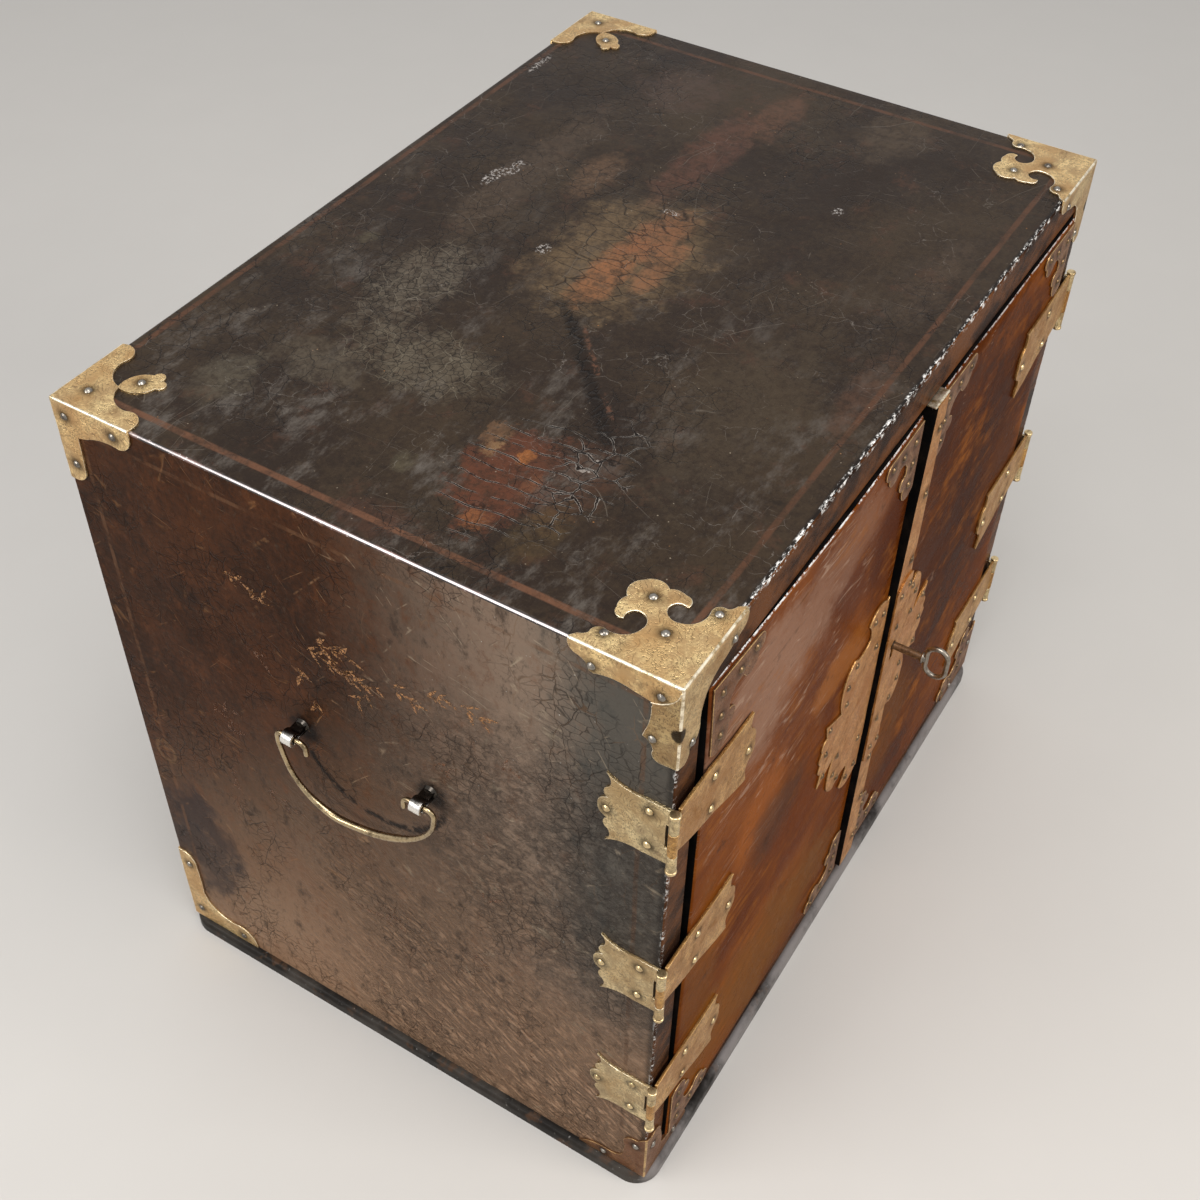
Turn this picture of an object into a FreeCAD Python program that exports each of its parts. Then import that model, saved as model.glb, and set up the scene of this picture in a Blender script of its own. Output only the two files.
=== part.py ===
import FreeCAD, Part
import math
import os

# Small tansu chest: a lacquered case with two doors, six drawers behind them,
# brass corner mounts, strap hinges, a lock with its key, and a bail handle on each side.
# Millimetres. X runs right as seen from the front, -Y is the front, Z is up,
# and the origin is the middle of the underside.

Vector = FreeCAD.Vector

# --- case
width = 360.0
depth = 255.0
height = 326.0
base_height = 7.0
base_overhang = 3.5
base_corner_radius = 12.0
base_rounding = 2.8
side_thickness = 14.0
top_thickness = 17.5
bottom_thickness = 10.5
back_thickness = 8.0
top_edge_rounding = 1.6
front_edge_chamfer = 0.5

# --- doors
door_thickness = 12.0
door_proud = 1.5
door_gap_hinge = 1.8
door_gap_top = 1.8
door_gap_bottom = 1.3
meeting_x = 4.0
meeting_gap = 3.2
door_edge_chamfer = 0.6
left_door_lean = 4.0
left_door_rise = 1.1
left_door_fall = 0.4
right_door_lean = 3.4
lean_start = 216.0
corner_plate_inset = 1.2

# --- brass sheet and nails
sheet = 0.9
leaf_sheet = 1.2
strip_width = 14.0
strip_thickness = 2.4
nail_radius = 1.55
nail_height = 0.95

# --- hinges: axis outside the front corner of the case
hinge_axis_out = 2.4
hinge_axis_front = 2.0
barrel_radius = 1.8
hinge_pin_radius = 0.85
pin_play = 0.04
knuckle_gap = 0.3
hinge_half_height = 14.2
middle_knuckle = 12.4
leaf_notch = 1.7
hinge_heights = (254.0, 160.0, 73.0)
pin_cap_radius = 2.1
pin_cap_height = 1.5

# --- lock and key
key_x = 13.0
key_z = 174.5
lock_plate_z = 157.0
shank_radius = 1.75
key_out = 15.0
bit_length = 8.0
bow_wire_radius = 1.15
bow_half_width = 4.7
bow_straight_half = 3.4
collar_radius = 2.55
collar_width = 1.4
bolt_throw = 8.0
lock_case_depth = 12.0
lock_case_width = 32.0
lock_case_wall = 1.2

# --- inside
guide_thickness = 6.0
partition_thickness = 8.0
shelf_thickness = 5.0
drawer_set_back = 17.0
drawer_play = 0.6
drawer_front_thickness = 9.0
drawer_wall = 5.0
drawer_bottom = 3.0
drawer_box_inset = 0.6
drawer_back_gap = 4.0
rows = ("top", "middle", "bottom")

# --- side handles
handle_z = 209.0
handle_y = 2.2
eye_spacing = 60.0
eye_stand_off = 7.5
eye_radius = 3.3
eye_width = 5.0
eye_neck = 3.2
eye_foot_radius = 3.2
eye_foot_height = 1.4
bail_radius = 1.4
bail_play = 0.25
bail_bend = 3.0
bail_hook = 6.5
# how the bail hangs between its bends, a little out of true: y from its middle, drop below the eyes
bail_hang = (
    (36.3, 8.5), (32.6, 22.5), (25.2, 32.2), (13.8, 37.4), (1.8, 36.4), (-10.1, 33.0), (-22.2, 26.4),
    (-30.4, 19.0), (-35.2, 11.2),
)

# --- worked out
left, right = -width / 2, width / 2
front, back = -depth / 2, depth / 2
top_under = height - top_thickness
bottom_top = base_height + bottom_thickness
inner_half = width / 2 - side_thickness
door_front = front - door_proud
door_back = door_front + door_thickness
drawer_face = door_back + drawer_set_back
hinge_x = left - hinge_axis_out
hinge_y = front - hinge_axis_front
left_door_edge = meeting_x - meeting_gap / 2
right_door_edge = meeting_x + meeting_gap / 2 + sheet
strip_face = door_front - strip_thickness
door_bottom = bottom_top + door_gap_bottom
door_top = top_under - door_gap_top
row_height = (top_under - bottom_top - 2 * shelf_thickness) / 3

os.makedirs("parts", exist_ok=True)


def save(name, *solids):
    """One STEP file for a node, with one solid per separate piece."""
    shape = solids[0] if len(solids) == 1 else Part.makeCompound(list(solids))
    shape.exportStep("parts/" + name + ".step")


def block(x0, x1, y0, y1, z0, z1):
    return Part.makeBox(x1 - x0, y1 - y0, z1 - z0, Vector(x0, y0, z0))


def mirrored(shape):
    """The same piece on the other side of the case."""
    return shape.mirror(Vector(0, 0, 0), Vector(1, 0, 0))


def edges_where(shape, test):
    return [edge for edge in shape.Edges if test(edge.BoundBox)]


# An outline is a list of corners (u, v). A pair of points in the list is an arc:
# the first is a point it passes through, the second is where it ends.
def wire_of(outline, place):
    start = outline[0]
    here = place(*start)
    edges = []
    for step in outline[1:] + [start]:
        if isinstance(step[0], tuple):
            through, end = place(*step[0]), place(*step[1])
            edges.append(Part.Arc(here, through, end).toShape())
        else:
            end = place(*step)
            if end.distanceToPoint(here) < 1e-6:
                continue
            edges.append(Part.LineSegment(here, end).toShape())
        here = end
    return Part.Wire(edges)


def plate(outline, place, thickness):
    """A flat sheet of the outline. Thickness is a vector away from the outline's plane."""
    return Part.Face(wire_of(outline, place)).extrude(thickness)


def end_of(step):
    return step[1] if isinstance(step[0], tuple) else step


def flipped(outline, swap):
    """The rest of a symmetric outline: its points in reverse order, each one swapped over."""
    ends = [end_of(step) for step in outline]
    result = []
    for index in range(len(outline) - 1, 0, -1):
        step = outline[index]
        end = swap(*ends[index - 1])
        result.append((swap(*step[0]), end) if isinstance(step[0], tuple) else end)
    return result


def nail(position, outward):
    """The round head of a nail, standing on a face."""
    sphere_radius = (nail_radius ** 2 + nail_height ** 2) / (2 * nail_height)
    low = math.degrees(math.asin((sphere_radius - nail_height) / sphere_radius))
    up = Vector(0, 0, 1)
    head = Part.makeSphere(sphere_radius, up * (nail_height - sphere_radius), up, low, 90, 360)
    head.Placement = FreeCAD.Placement(position, FreeCAD.Rotation(up, outward))
    return head


# --- case boards ---------------------------------------------------------------

def case_boards():
    top = block(left, right, front, back, top_under, height)
    upper = edges_where(top, lambda b: b.ZMin > height - 0.01)
    save("top_board", top.makeFillet(top_edge_rounding, upper))

    side = block(left, left + side_thickness, front, back, base_height, top_under)
    corner = edges_where(side, lambda b: b.YMax < front + 0.01 and b.XMax < left + 0.01)
    side = side.makeChamfer(front_edge_chamfer, corner)
    save("left_side_board", side)
    save("right_side_board", mirrored(side))

    save("bottom_board", block(-inner_half, inner_half, front, back, base_height, bottom_top))
    save("back_board", block(-inner_half, inner_half, back - back_thickness, back, bottom_top, top_under))

    base = block(left - base_overhang, right + base_overhang, front - base_overhang, back + base_overhang,
                 0, base_height)
    base = base.makeFillet(base_corner_radius, edges_where(base, lambda b: b.ZLength > base_height - 0.01))
    upper = edges_where(base, lambda b: b.ZMin > base_height - 0.01)
    save("base_board", base.makeFillet(base_rounding, upper))


def inner_boards():
    y0, y1 = drawer_face, back - back_thickness
    half = partition_thickness / 2
    save("centre_partition", block(-half, half, y0, y1, bottom_top, top_under))
    guide = block(-inner_half, -inner_half + guide_thickness, y0, y1, bottom_top, top_under)
    save("drawer_guides", guide, mirrored(guide))
    shelves = []
    for number in (1, 2):
        z0 = bottom_top + number * row_height + (number - 1) * shelf_thickness
        shelf = block(-inner_half + guide_thickness, -half, y0, y1, z0, z0 + shelf_thickness)
        shelves += [shelf, mirrored(shelf)]
    save("shelf_boards", *shelves)


# --- corner mounts: one sheet bent over the top, the side and the front ----------

# u runs along the front edge from the corner, v along the side edge
mount_half = [
    (40.0, 0.0), (38.2, 2.4), ((36.6, 3.1), (35.6, 4.4)), ((34.9, 7.3), (31.8, 8.3)), ((25.9, 9.1), (22.5, 14.0)),
    ((23.1, 18.2), (26.3, 20.1)), ((29.2, 18.7), (29.5, 15.0)), ((31.9, 14.8), (34.0, 18.0)),
    ((34.6, 20.8), (33.6, 23.8)), ((35.3, 28.6), (32.8, 32.8)),
]
mount_top = [(0.0, 0.0)] + mount_half + flipped(mount_half, lambda u, v: (v, u))

# u runs along the edge from the corner, w is the depth below it
mount_side = [
    (0.0, 0.0), (40.0, 0.0), ((38.9, 3.8), (36.2, 5.2)), ((33.4, 7.0), (32.2, 9.9)), (30.4, 10.3),
    ((23.4, 8.8), (16.0, 9.7)), (10.6, 10.6), ((9.7, 11.3), (9.8, 12.8)), ((10.3, 20.0), (11.7, 25.0)),
    (12.5, 27.9), ((9.6, 29.8), (8.4, 32.6)), ((7.8, 36.5), (5.4, 37.4)), (0.0, 37.0),
]
mount_front = [
    (0.0, 0.0), (40.0, 0.0), ((40.0, 4.2), (37.4, 6.6)), ((31.6, 7.8), (26.0, 9.8)), ((19.0, 11.8), (15.0, 15.0)),
    ((12.9, 20.0), (12.2, 26.0)), ((11.4, 31.2), (9.0, 33.6)), (6.2, 33.4), ((5.8, 36.6), (3.2, 38.2)), (0.0, 37.0),
]
paddle_half = [
    (36.0, 0.0), ((35.0, 6.5), (28.0, 7.5)), ((20.0, 10.0), (16.5, 16.0)), ((24.0, 17.0), (28.0, 22.5)),
    ((28.6, 27.0), (26.5, 26.5)),
]
paddle_top = [(0.0, 0.0)] + paddle_half + flipped(paddle_half, lambda u, v: (v, u))
paddle_side = [
    (0.0, 0.0), (36.0, 0.0), ((35.6, 6.0), (30.0, 10.0)), ((21.0, 10.0), (14.0, 12.5)), (9.4, 14.0),
    ((9.0, 24.0), (8.6, 29.0)), ((6.0, 35.0), (0.0, 36.0)),
]

# the mounts at the bottom have no sheet over the level face
low_side = [
    (0.0, 0.0), (33.0, 0.0), ((26.0, 5.4), (18.0, 6.6)), ((12.4, 8.4), (10.4, 13.0)), (9.6, 20.0),
    ((8.6, 27.6), (3.6, 29.4)), (0.0, 34.0),
]
low_front = [
    (0.0, 0.0), (35.0, 0.0), ((33.4, 6.0), (27.0, 7.4)), ((19.0, 7.6), (14.6, 9.2)), (12.8, 11.0),
    ((12.4, 20.0), (11.0, 26.0)), ((8.0, 31.6), (3.6, 31.0)), (0.0, 34.0),
]
low_back_side = [
    (0.0, 0.0), (39.0, 0.0), ((36.6, 8.0), (28.0, 11.0)), ((17.0, 12.6), (11.4, 18.0)), (9.6, 24.0),
    ((9.8, 36.0), (9.2, 44.0)), ((6.4, 51.6), (0.0, 53.0)),
]


def corner_mount(over, along_side, along_front, face_z, outward):
    """A mount on the front left corner of a level face. Outward is 1 on the top and -1 under the case."""
    def on_side(u, w):
        return Vector(left, front + u, face_z - outward * w)

    def on_front(u, w):
        return Vector(left + u, front, face_z - outward * w)

    reach_side, reach_front, drop = along_side[1][0], along_front[1][0], end_of(along_side[-1])[1]
    pieces = [
        plate(along_side, on_side, Vector(-sheet, 0, 0)),
        plate(along_front, on_front, Vector(0, -sheet, 0)),
    ]
    edge_low, edge_high = sorted((face_z - outward * drop, face_z))
    if over:
        pieces.append(plate(over, lambda u, v: Vector(left + u, front + v, face_z), Vector(0, 0, sheet)))
        pieces.append(block(left - sheet, left, front, front + reach_side, face_z, face_z + sheet))
        pieces.append(block(left, left + reach_front, front - sheet, front, face_z, face_z + sheet))
        edge_high += sheet
    pieces.append(block(left - sheet, left, front - sheet, front, edge_low, edge_high))
    return pieces[0].multiFuse(pieces[1:]).removeSplitter()


def to_back(shape):
    """The same piece on the back corner of the same side."""
    return shape.mirror(Vector(0, 0, 0), Vector(0, 1, 0))


def corner_mounts():
    top_front = corner_mount(mount_top, mount_side, mount_front, height, 1)
    top_back = to_back(corner_mount(paddle_top, paddle_side, paddle_side, height, 1))
    bottom_front = corner_mount(None, low_side, low_front, base_height, -1)
    bottom_back = to_back(corner_mount(None, low_back_side, low_back_side, base_height, -1))
    for name, mount in (("top_front", top_front), ("top_back", top_back),
                        ("bottom_front", bottom_front), ("bottom_back", bottom_back)):
        save(name + "_left_mount", mount)
        save(name + "_right_mount", mirrored(mount))


# nails on a mount: distance from the corner along each face
top_nails = ((27.8, 26.4), (16.3, 15.4), (32.2, 5.4), (6.6, 31.4))
side_nails = ((31.2, 7.4), (6.6, 6.8), (8.8, 27.6))
front_nails = ((31.6, 6.0), (7.6, 31.2))
paddle_top_nails = ((22.5, 21.5), (9.0, 9.0))
paddle_side_nails = ((28.0, 5.2), (5.0, 6.0), (4.8, 28.0))
low_side_nails = ((20.0, 3.2), (4.4, 24.0))
low_front_nails = ((24.0, 3.8), (5.0, 22.0))
low_back_nails = ((31.0, 4.6), (5.0, 8.0), (4.8, 44.0))


def mount_nails():
    heads = []
    outer_left, outer_front, outer_top = left - sheet, front - sheet, height + sheet
    out_left, out_front, up = Vector(-1, 0, 0), Vector(0, -1, 0), Vector(0, 0, 1)
    for u, v in top_nails:
        heads.append(nail(Vector(left + u, front + v, outer_top), up))
    for u, v in paddle_top_nails:
        heads.append(to_back(nail(Vector(left + u, front + v, outer_top), up)))
    upper = (height, 1, side_nails, front_nails, paddle_side_nails)
    lower = (base_height, -1, low_side_nails, low_front_nails, low_back_nails)
    for level, down, on_side, on_front, on_back in (upper, lower):
        for u, w in on_side:
            heads.append(nail(Vector(outer_left, front + u, level - down * w), out_left))
        for u, w in on_front:
            heads.append(nail(Vector(left + u, outer_front, level - down * w), out_front))
        for u, w in on_back:
            heads.append(to_back(nail(Vector(outer_left, front + u, level - down * w), out_left)))
            heads.append(to_back(nail(Vector(left + u, outer_front, level - down * w), out_front)))
    save("corner_mount_nails", *heads, *[mirrored(head) for head in heads])


# --- hinges: a leaf on the side, a leaf over the door, three knuckles and a pin ----

# u runs from the corner, w is the height above the middle of the hinge
side_leaf_half = [
    (10.0, 14.4), ((20.0, 15.4), (24.6, 18.0)), ((22.7, 14.6), (23.4, 11.2)), ((25.3, 8.2), (23.6, 5.4)),
    ((26.6, 3.6), (27.6, 0.0)),
]
door_leaf_outline = [
    (0.6, 15.4), ((14.0, 15.4), (26.0, 14.4)), ((38.0, 13.4), (51.4, 13.2)), ((50.0, 9.0), (50.8, 5.2)),
    ((54.0, 1.8), (54.6, -4.0)), ((54.2, -9.4), (50.6, -12.0)), ((49.1, -15.0), (49.4, -18.0)), (50.4, -22.4),
    ((38.0, -18.6), (26.0, -14.0)), ((13.0, -10.8), (0.6, -6.4)),
]


def leaf_outline(half, start_u, start_w):
    head = [(start_u, start_w)] + half
    return head + flipped(head, lambda u, w: (u, -w)) + [(start_u, -start_w)]


def knuckle(z0, z1, play):
    centre = Vector(hinge_x, hinge_y, z0)
    barrel = Part.makeCylinder(barrel_radius, z1 - z0, centre)
    return barrel.cut(Part.makeCylinder(hinge_pin_radius + play, z1 - z0, centre))


def hinge(z):
    """Side leaf, door leaf and pin of the left hinge whose middle is at height z."""
    half = middle_knuckle / 2
    spans = [(z - hinge_half_height, z - half), (z + half, z + hinge_half_height)]
    side_leaf = plate(leaf_outline(side_leaf_half, 0.4, hinge_half_height),
                      lambda u, w: Vector(left, front + u, z + w), Vector(-leaf_sheet, 0, 0))
    side_parts = []
    for z0, z1 in spans:
        side_parts.append(block(left - leaf_sheet, left, hinge_y, front + 0.6, z0, z1))
        side_parts.append(knuckle(z0, z1, pin_play / 2))
    bore = Part.makeCylinder(hinge_pin_radius + pin_play / 2, 2 * hinge_half_height,
                             Vector(hinge_x, hinge_y, z - hinge_half_height))
    notch = block(left - leaf_sheet, left, front, front + leaf_notch, z - half, z + half)
    side_leaf = side_leaf.multiFuse(side_parts).cut(bore).cut(notch).removeSplitter()

    leaf_back = door_front
    z0, z1 = z - half + knuckle_gap, z + half - knuckle_gap
    door_leaf = plate(door_leaf_outline, lambda u, w: Vector(left + u, leaf_back, z + w), Vector(0, -leaf_sheet, 0))
    arm = block(hinge_x, left + 0.8, leaf_back - leaf_sheet, leaf_back, z0, z1)
    bore = Part.makeCylinder(hinge_pin_radius + pin_play, z1 - z0, Vector(hinge_x, hinge_y, z0))
    door_leaf = door_leaf.multiFuse([arm, knuckle(z0, z1, pin_play)]).cut(bore).removeSplitter()

    low = z - hinge_half_height - pin_cap_height
    pin_length = 2 * (hinge_half_height + pin_cap_height)
    pin = Part.makeCylinder(hinge_pin_radius, pin_length, Vector(hinge_x, hinge_y, low))
    for cap_z in (low, z + hinge_half_height):
        pin = pin.fuse(Part.makeCylinder(pin_cap_radius, pin_cap_height, Vector(hinge_x, hinge_y, cap_z)))
    return side_leaf, door_leaf, pin.removeSplitter()


side_leaf_nails = ((24.2, -0.8), (8.2, -9.4), (8.0, 8.8))
door_leaf_nails = ((23.8, 8.0), (23.2, -9.0), (49.6, -5.4))


def hinges():
    sets = [hinge(z) for z in hinge_heights]
    for index, name in enumerate(("hinge_side_leaves", "hinge_door_leaves", "hinge_pins")):
        pieces = [one[index] for one in sets]
        save("left_" + name, *pieces)
        save("right_" + name, *[mirrored(piece) for piece in pieces])
    heads = [nail(Vector(left - leaf_sheet, front + u, z + w), Vector(-1, 0, 0))
             for z in hinge_heights for u, w in side_leaf_nails]
    save("hinge_side_nails", *heads, *[mirrored(head) for head in heads])


# --- doors -----------------------------------------------------------------------

def keyhole(y0, y1):
    """A round hole for the shank with a slot below it for the bit."""
    hole = Part.makeCylinder(2.5, y1 - y0, Vector(key_x, y0, key_z), Vector(0, 1, 0))
    return hole.fuse(block(key_x - 1.6, key_x + 1.6, y0, y1, key_z - bit_length - 0.8, key_z))


def upright(corners, y0, y1):
    """A board standing across the chest, from the x and z of its corners."""
    rim = [Vector(x, y0, z) for x, z in corners]
    return Part.Face(Part.makePolygon(rim + rim[:1])).extrude(Vector(0, y1 - y0, 0))


def leaning_edge(x):
    """The meeting edge of the right door, which leans away above the lock."""
    return [(x, door_bottom), (x, lean_start), (x + right_door_lean, door_top)]


def door_panels():
    outer = inner_half - door_gap_hinge
    # the left door has been planed out of square where it sagged
    left_panel = upright([(-outer, door_bottom), (-outer + left_door_lean, door_top + left_door_rise),
                          (left_door_edge, door_top - left_door_fall), (left_door_edge, door_bottom)],
                         door_front, door_back)
    right_panel = upright(leaning_edge(right_door_edge) + [(outer, door_top), (outer, door_bottom)],
                          door_front, door_back)
    faces = []
    for panel in (left_panel, right_panel):
        rim = edges_where(panel, lambda b: b.YMax < door_front + 0.01)
        faces.append(panel.makeChamfer(door_edge_chamfer, rim))
    save("left_door_panel", faces[0])
    save("right_door_panel", faces[1].cut(keyhole(door_front - 1, door_back + 1)))

    outside = leaning_edge(right_door_edge - sheet)
    strip_right = right_door_edge + strip_width - sheet
    strip = upright(outside + [(strip_right, door_top), (strip_right, door_bottom)], strip_face, door_front)
    wrap = upright(outside + leaning_edge(right_door_edge)[::-1], strip_face, door_back)
    strip = strip.fuse(wrap).removeSplitter()
    save("meeting_edge_strip", strip.cut(keyhole(strip_face - 1, door_front + 1)))


# u runs from the meeting edge, w is the height above the middle of the lock plate
lock_quarter = [
    (0.0, 55.0), (2.0, 54.0), ((10.0, 57.5), (19.0, 52.5)), ((15.0, 46.0), (14.6, 41.0)),
    ((22.0, 38.6), (29.0, 42.0)), ((35.4, 37.0), (37.4, 30.0)), ((37.0, 21.0), (34.6, 14.0)),
    ((42.0, 16.6), (50.0, 20.0)), (47.6, 11.0), ((51.4, 8.6), (50.4, 4.4)), (53.0, 0.0),
]
lock_half = lock_quarter + flipped(lock_quarter, lambda u, w: (u, -w))
lock_nails = (
    (5.0, 49.0), (13.0, 50.5), (26.5, 36.5), (32.5, 28.5), (31.0, 17.0), (46.0, 15.0), (46.5, 0.0), (6.0, 30.0),
)


def lock_plates():
    def on_left(u, w):
        return Vector(left_door_edge - u, door_front, lock_plate_z + w)

    def on_right(u, w):
        return Vector(right_door_edge - sheet + u, door_front, lock_plate_z + w)

    save("left_lock_plate", plate(lock_half, on_left, Vector(0, -sheet, 0)))

    # the right plate steps up over the meeting strip
    step_x = right_door_edge - sheet + strip_width
    deep = strip_thickness + sheet
    whole = plate(lock_half, on_right, Vector(0, -deep, 0))
    over_door = block(step_x + sheet, right, door_front - deep - 1, door_front - sheet, 0, height)
    under_strip = block(0, step_x, strip_face, door_front + 1, 0, height)
    right_plate = whole.cut(over_door).cut(under_strip)
    save("right_lock_plate", right_plate.cut(keyhole(door_front - deep - 1, door_front + 1)))


# u and w run from the corner of the door
door_corner = [
    (0.0, 0.0), (30.0, 0.0), ((33.6, 4.0), (29.6, 8.0)), ((25.0, 13.6), (20.0, 10.6)),
    ((13.6, 12.0), (11.6, 19.0)), ((15.6, 22.4), (11.4, 26.0)), ((8.6, 33.4), (0.0, 32.0)),
]
door_corner_nails = ((27.6, 4.4), (17.4, 6.0), (6.0, 6.4), (5.6, 17.0), (6.0, 27.0))
strip_nails_down = (14.0, 48.0, 84.0)
strip_nails_up = (14.0, 46.0, 76.0)


def door_corner_places():
    """For each door corner: side, corner x, its direction inward, corner z, its direction down."""
    low, high = door_bottom + corner_plate_inset, door_top - corner_plate_inset
    hinge_side, left_meeting = -inner_half + door_gap_hinge + 1.0, left_door_edge - 0.8
    right_meeting = right_door_edge - sheet + strip_width + 0.4
    return [
        ("left", hinge_side + left_door_lean, 1, high + left_door_rise / 2, -1),
        ("left", left_meeting, -1, high - left_door_fall, -1),
        ("right", -hinge_side, -1, high, -1),
        ("right", right_meeting, 1, high, -1),
        ("left", hinge_side, 1, low, 1),
        ("left", left_meeting, -1, low, 1),
        ("right", -hinge_side, -1, low, 1),
        ("right", right_meeting, 1, low, 1),
    ]


def door_plates_and_nails():
    plates = {"left": [], "right": []}
    heads = {"left": [], "right": []}
    outward = Vector(0, -1, 0)
    for door, x, inward, z, down in door_corner_places():
        plates[door].append(plate(door_corner, lambda u, w: Vector(x + inward * u, door_front, z + down * w),
                                  Vector(0, -sheet, 0)))
        for u, w in door_corner_nails:
            heads[door].append(nail(Vector(x + inward * u, door_front - sheet, z + down * w), outward))
    for z in hinge_heights:
        for u, w in door_leaf_nails:
            heads["left"].append(nail(Vector(left + u, door_front - leaf_sheet, z + w), outward))
            heads["right"].append(nail(Vector(right - u, door_front - leaf_sheet, z + w), outward))
    strip_left = right_door_edge - sheet
    for u, w in lock_nails:
        for side in ((1,) if w == 0 else (1, -1)):
            height_here = lock_plate_z + side * w
            heads["left"].append(nail(Vector(left_door_edge - u, door_front - sheet, height_here), outward))
            face = strip_face - sheet if u < strip_width else door_front - sheet
            heads["right"].append(nail(Vector(strip_left + u, face, height_here), outward))
    strip_nails = [door_top - down for down in strip_nails_down] + [door_bottom + up for up in strip_nails_up]
    for z in strip_nails:
        heads["right"].append(nail(Vector(strip_left + strip_width - 3.5, strip_face, z), outward))
    for door in plates:
        save(door + "_door_corner_plates", *plates[door])
        save(door + "_door_nails", *heads[door])


# --- lock, bolt, keeper and key -----------------------------------------------------

bolt_front = door_back + 2.4
bolt_back = bolt_front + 3.0
bolt_low, bolt_high = key_z + 6.0, key_z + 14.0


def lock():
    case_left, case_right = right_door_edge, right_door_edge + lock_case_width
    case_low, case_high = key_z - 15.0, key_z + 20.0
    case = block(case_left, case_right, door_back, door_back + lock_case_depth, case_low, case_high)
    wall = lock_case_wall
    hollow_back = door_back + lock_case_depth - wall
    hollow = block(case_left + wall, case_right - wall, door_back + wall, hollow_back,
                   case_low + wall, case_high - wall)
    bolt_way = block(case_left - 1, case_left + wall + 1, bolt_front - 0.3, bolt_back + 0.3,
                     bolt_low - 0.3, bolt_high + 0.3)
    save("lock_case", case.cut(hollow).cut(bolt_way).cut(keyhole(door_back - 1, door_back + wall + 0.5)))

    # the bit turns through half a circle and enters a notch in the lower edge of the bolt
    bolt = block(case_left + 0.2, case_right - wall - 0.5, bolt_front, bolt_back, bolt_low, bolt_high)
    notch_top = key_z + bit_length + 0.6
    notch = block(key_x + 5.8, key_x + 14.0, bolt_front - 1, bolt_back + 1, bolt_low - 1, notch_top)
    save("lock_bolt", bolt.cut(notch))

    # a staple on the back of the left door, which the bolt slides into
    thrown = case_left + 0.2 - bolt_throw
    x0, x1 = thrown - 7.0, left_door_edge - 0.5
    foot = 2.0
    staple = block(x0, x1, door_back, bolt_back + 2.0, bolt_low - 1.0 - foot, bolt_high + 1.0 + foot)
    slot = block(x0 - 1, x1 + 1, door_back - 1, bolt_back + 0.8, bolt_low - 1.0, bolt_high + 1.0)
    save("lock_keeper", staple.cut(slot))


def key_bow(centre):
    """An oval ring of round wire in the plane across the chest: two straight sides and two half rounds."""
    along_x = Vector(1, 0, 0)
    pieces = []
    for side in (-1, 1):
        foot = centre + Vector(0, side * bow_half_width, -bow_straight_half)
        pieces.append(Part.makeCylinder(bow_wire_radius, 2 * bow_straight_half, foot))
        rim = Part.makeCircle(bow_wire_radius, centre + Vector(0, -bow_half_width, side * bow_straight_half))
        middle = centre + Vector(0, 0, side * bow_straight_half)
        pieces.append(Part.Face(Part.Wire(rim)).revolve(middle, along_x * -side, 180))
    return pieces


def key():
    face = strip_face - sheet
    inner_end = bolt_back + 1.6
    outer_end = face - key_out - 0.4
    along = Vector(0, -1, 0)
    shank = Part.makeCylinder(shank_radius, inner_end - outer_end, Vector(key_x, inner_end, key_z), along)
    bit = block(key_x - 1.1, key_x + 1.1, bolt_front + 0.2, bolt_back - 0.2, key_z - bit_length, key_z)
    collar = Part.makeCylinder(collar_radius, collar_width, Vector(key_x, outer_end + 2.2, key_z), along)
    collar = collar.makeFillet(collar_width * 0.45, [edge for edge in collar.Edges if edge.Closed])
    bow = key_bow(Vector(key_x, outer_end - bow_half_width, key_z))
    save("key", shank.multiFuse([bit, collar] + bow).removeSplitter())


# --- side handles ---------------------------------------------------------------------

def handle_eyes():
    eyes = []
    axis_x = left - eye_stand_off
    for side in (-1, 1):
        y0 = handle_y + side * eye_spacing / 2 - eye_width / 2
        centre, along = Vector(axis_x, y0, handle_z), Vector(0, 1, 0)
        ring = Part.makeCylinder(eye_radius, eye_width, centre, along)
        hole = Part.makeCylinder(bail_radius + bail_play, eye_width, centre, along)
        neck = block(axis_x, left, y0, y0 + eye_width, handle_z - eye_neck / 2, handle_z + eye_neck / 2)
        root = Vector(left, y0 + eye_width / 2, handle_z)
        foot = Part.makeCone(eye_foot_radius, eye_width / 2, eye_foot_height, root, Vector(-1, 0, 0))
        eyes.append(ring.multiFuse([neck, foot]).cut(hole).removeSplitter())
    save("left_handle_eyes", *eyes)
    save("right_handle_eyes", *[mirrored(eye) for eye in eyes])


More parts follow.
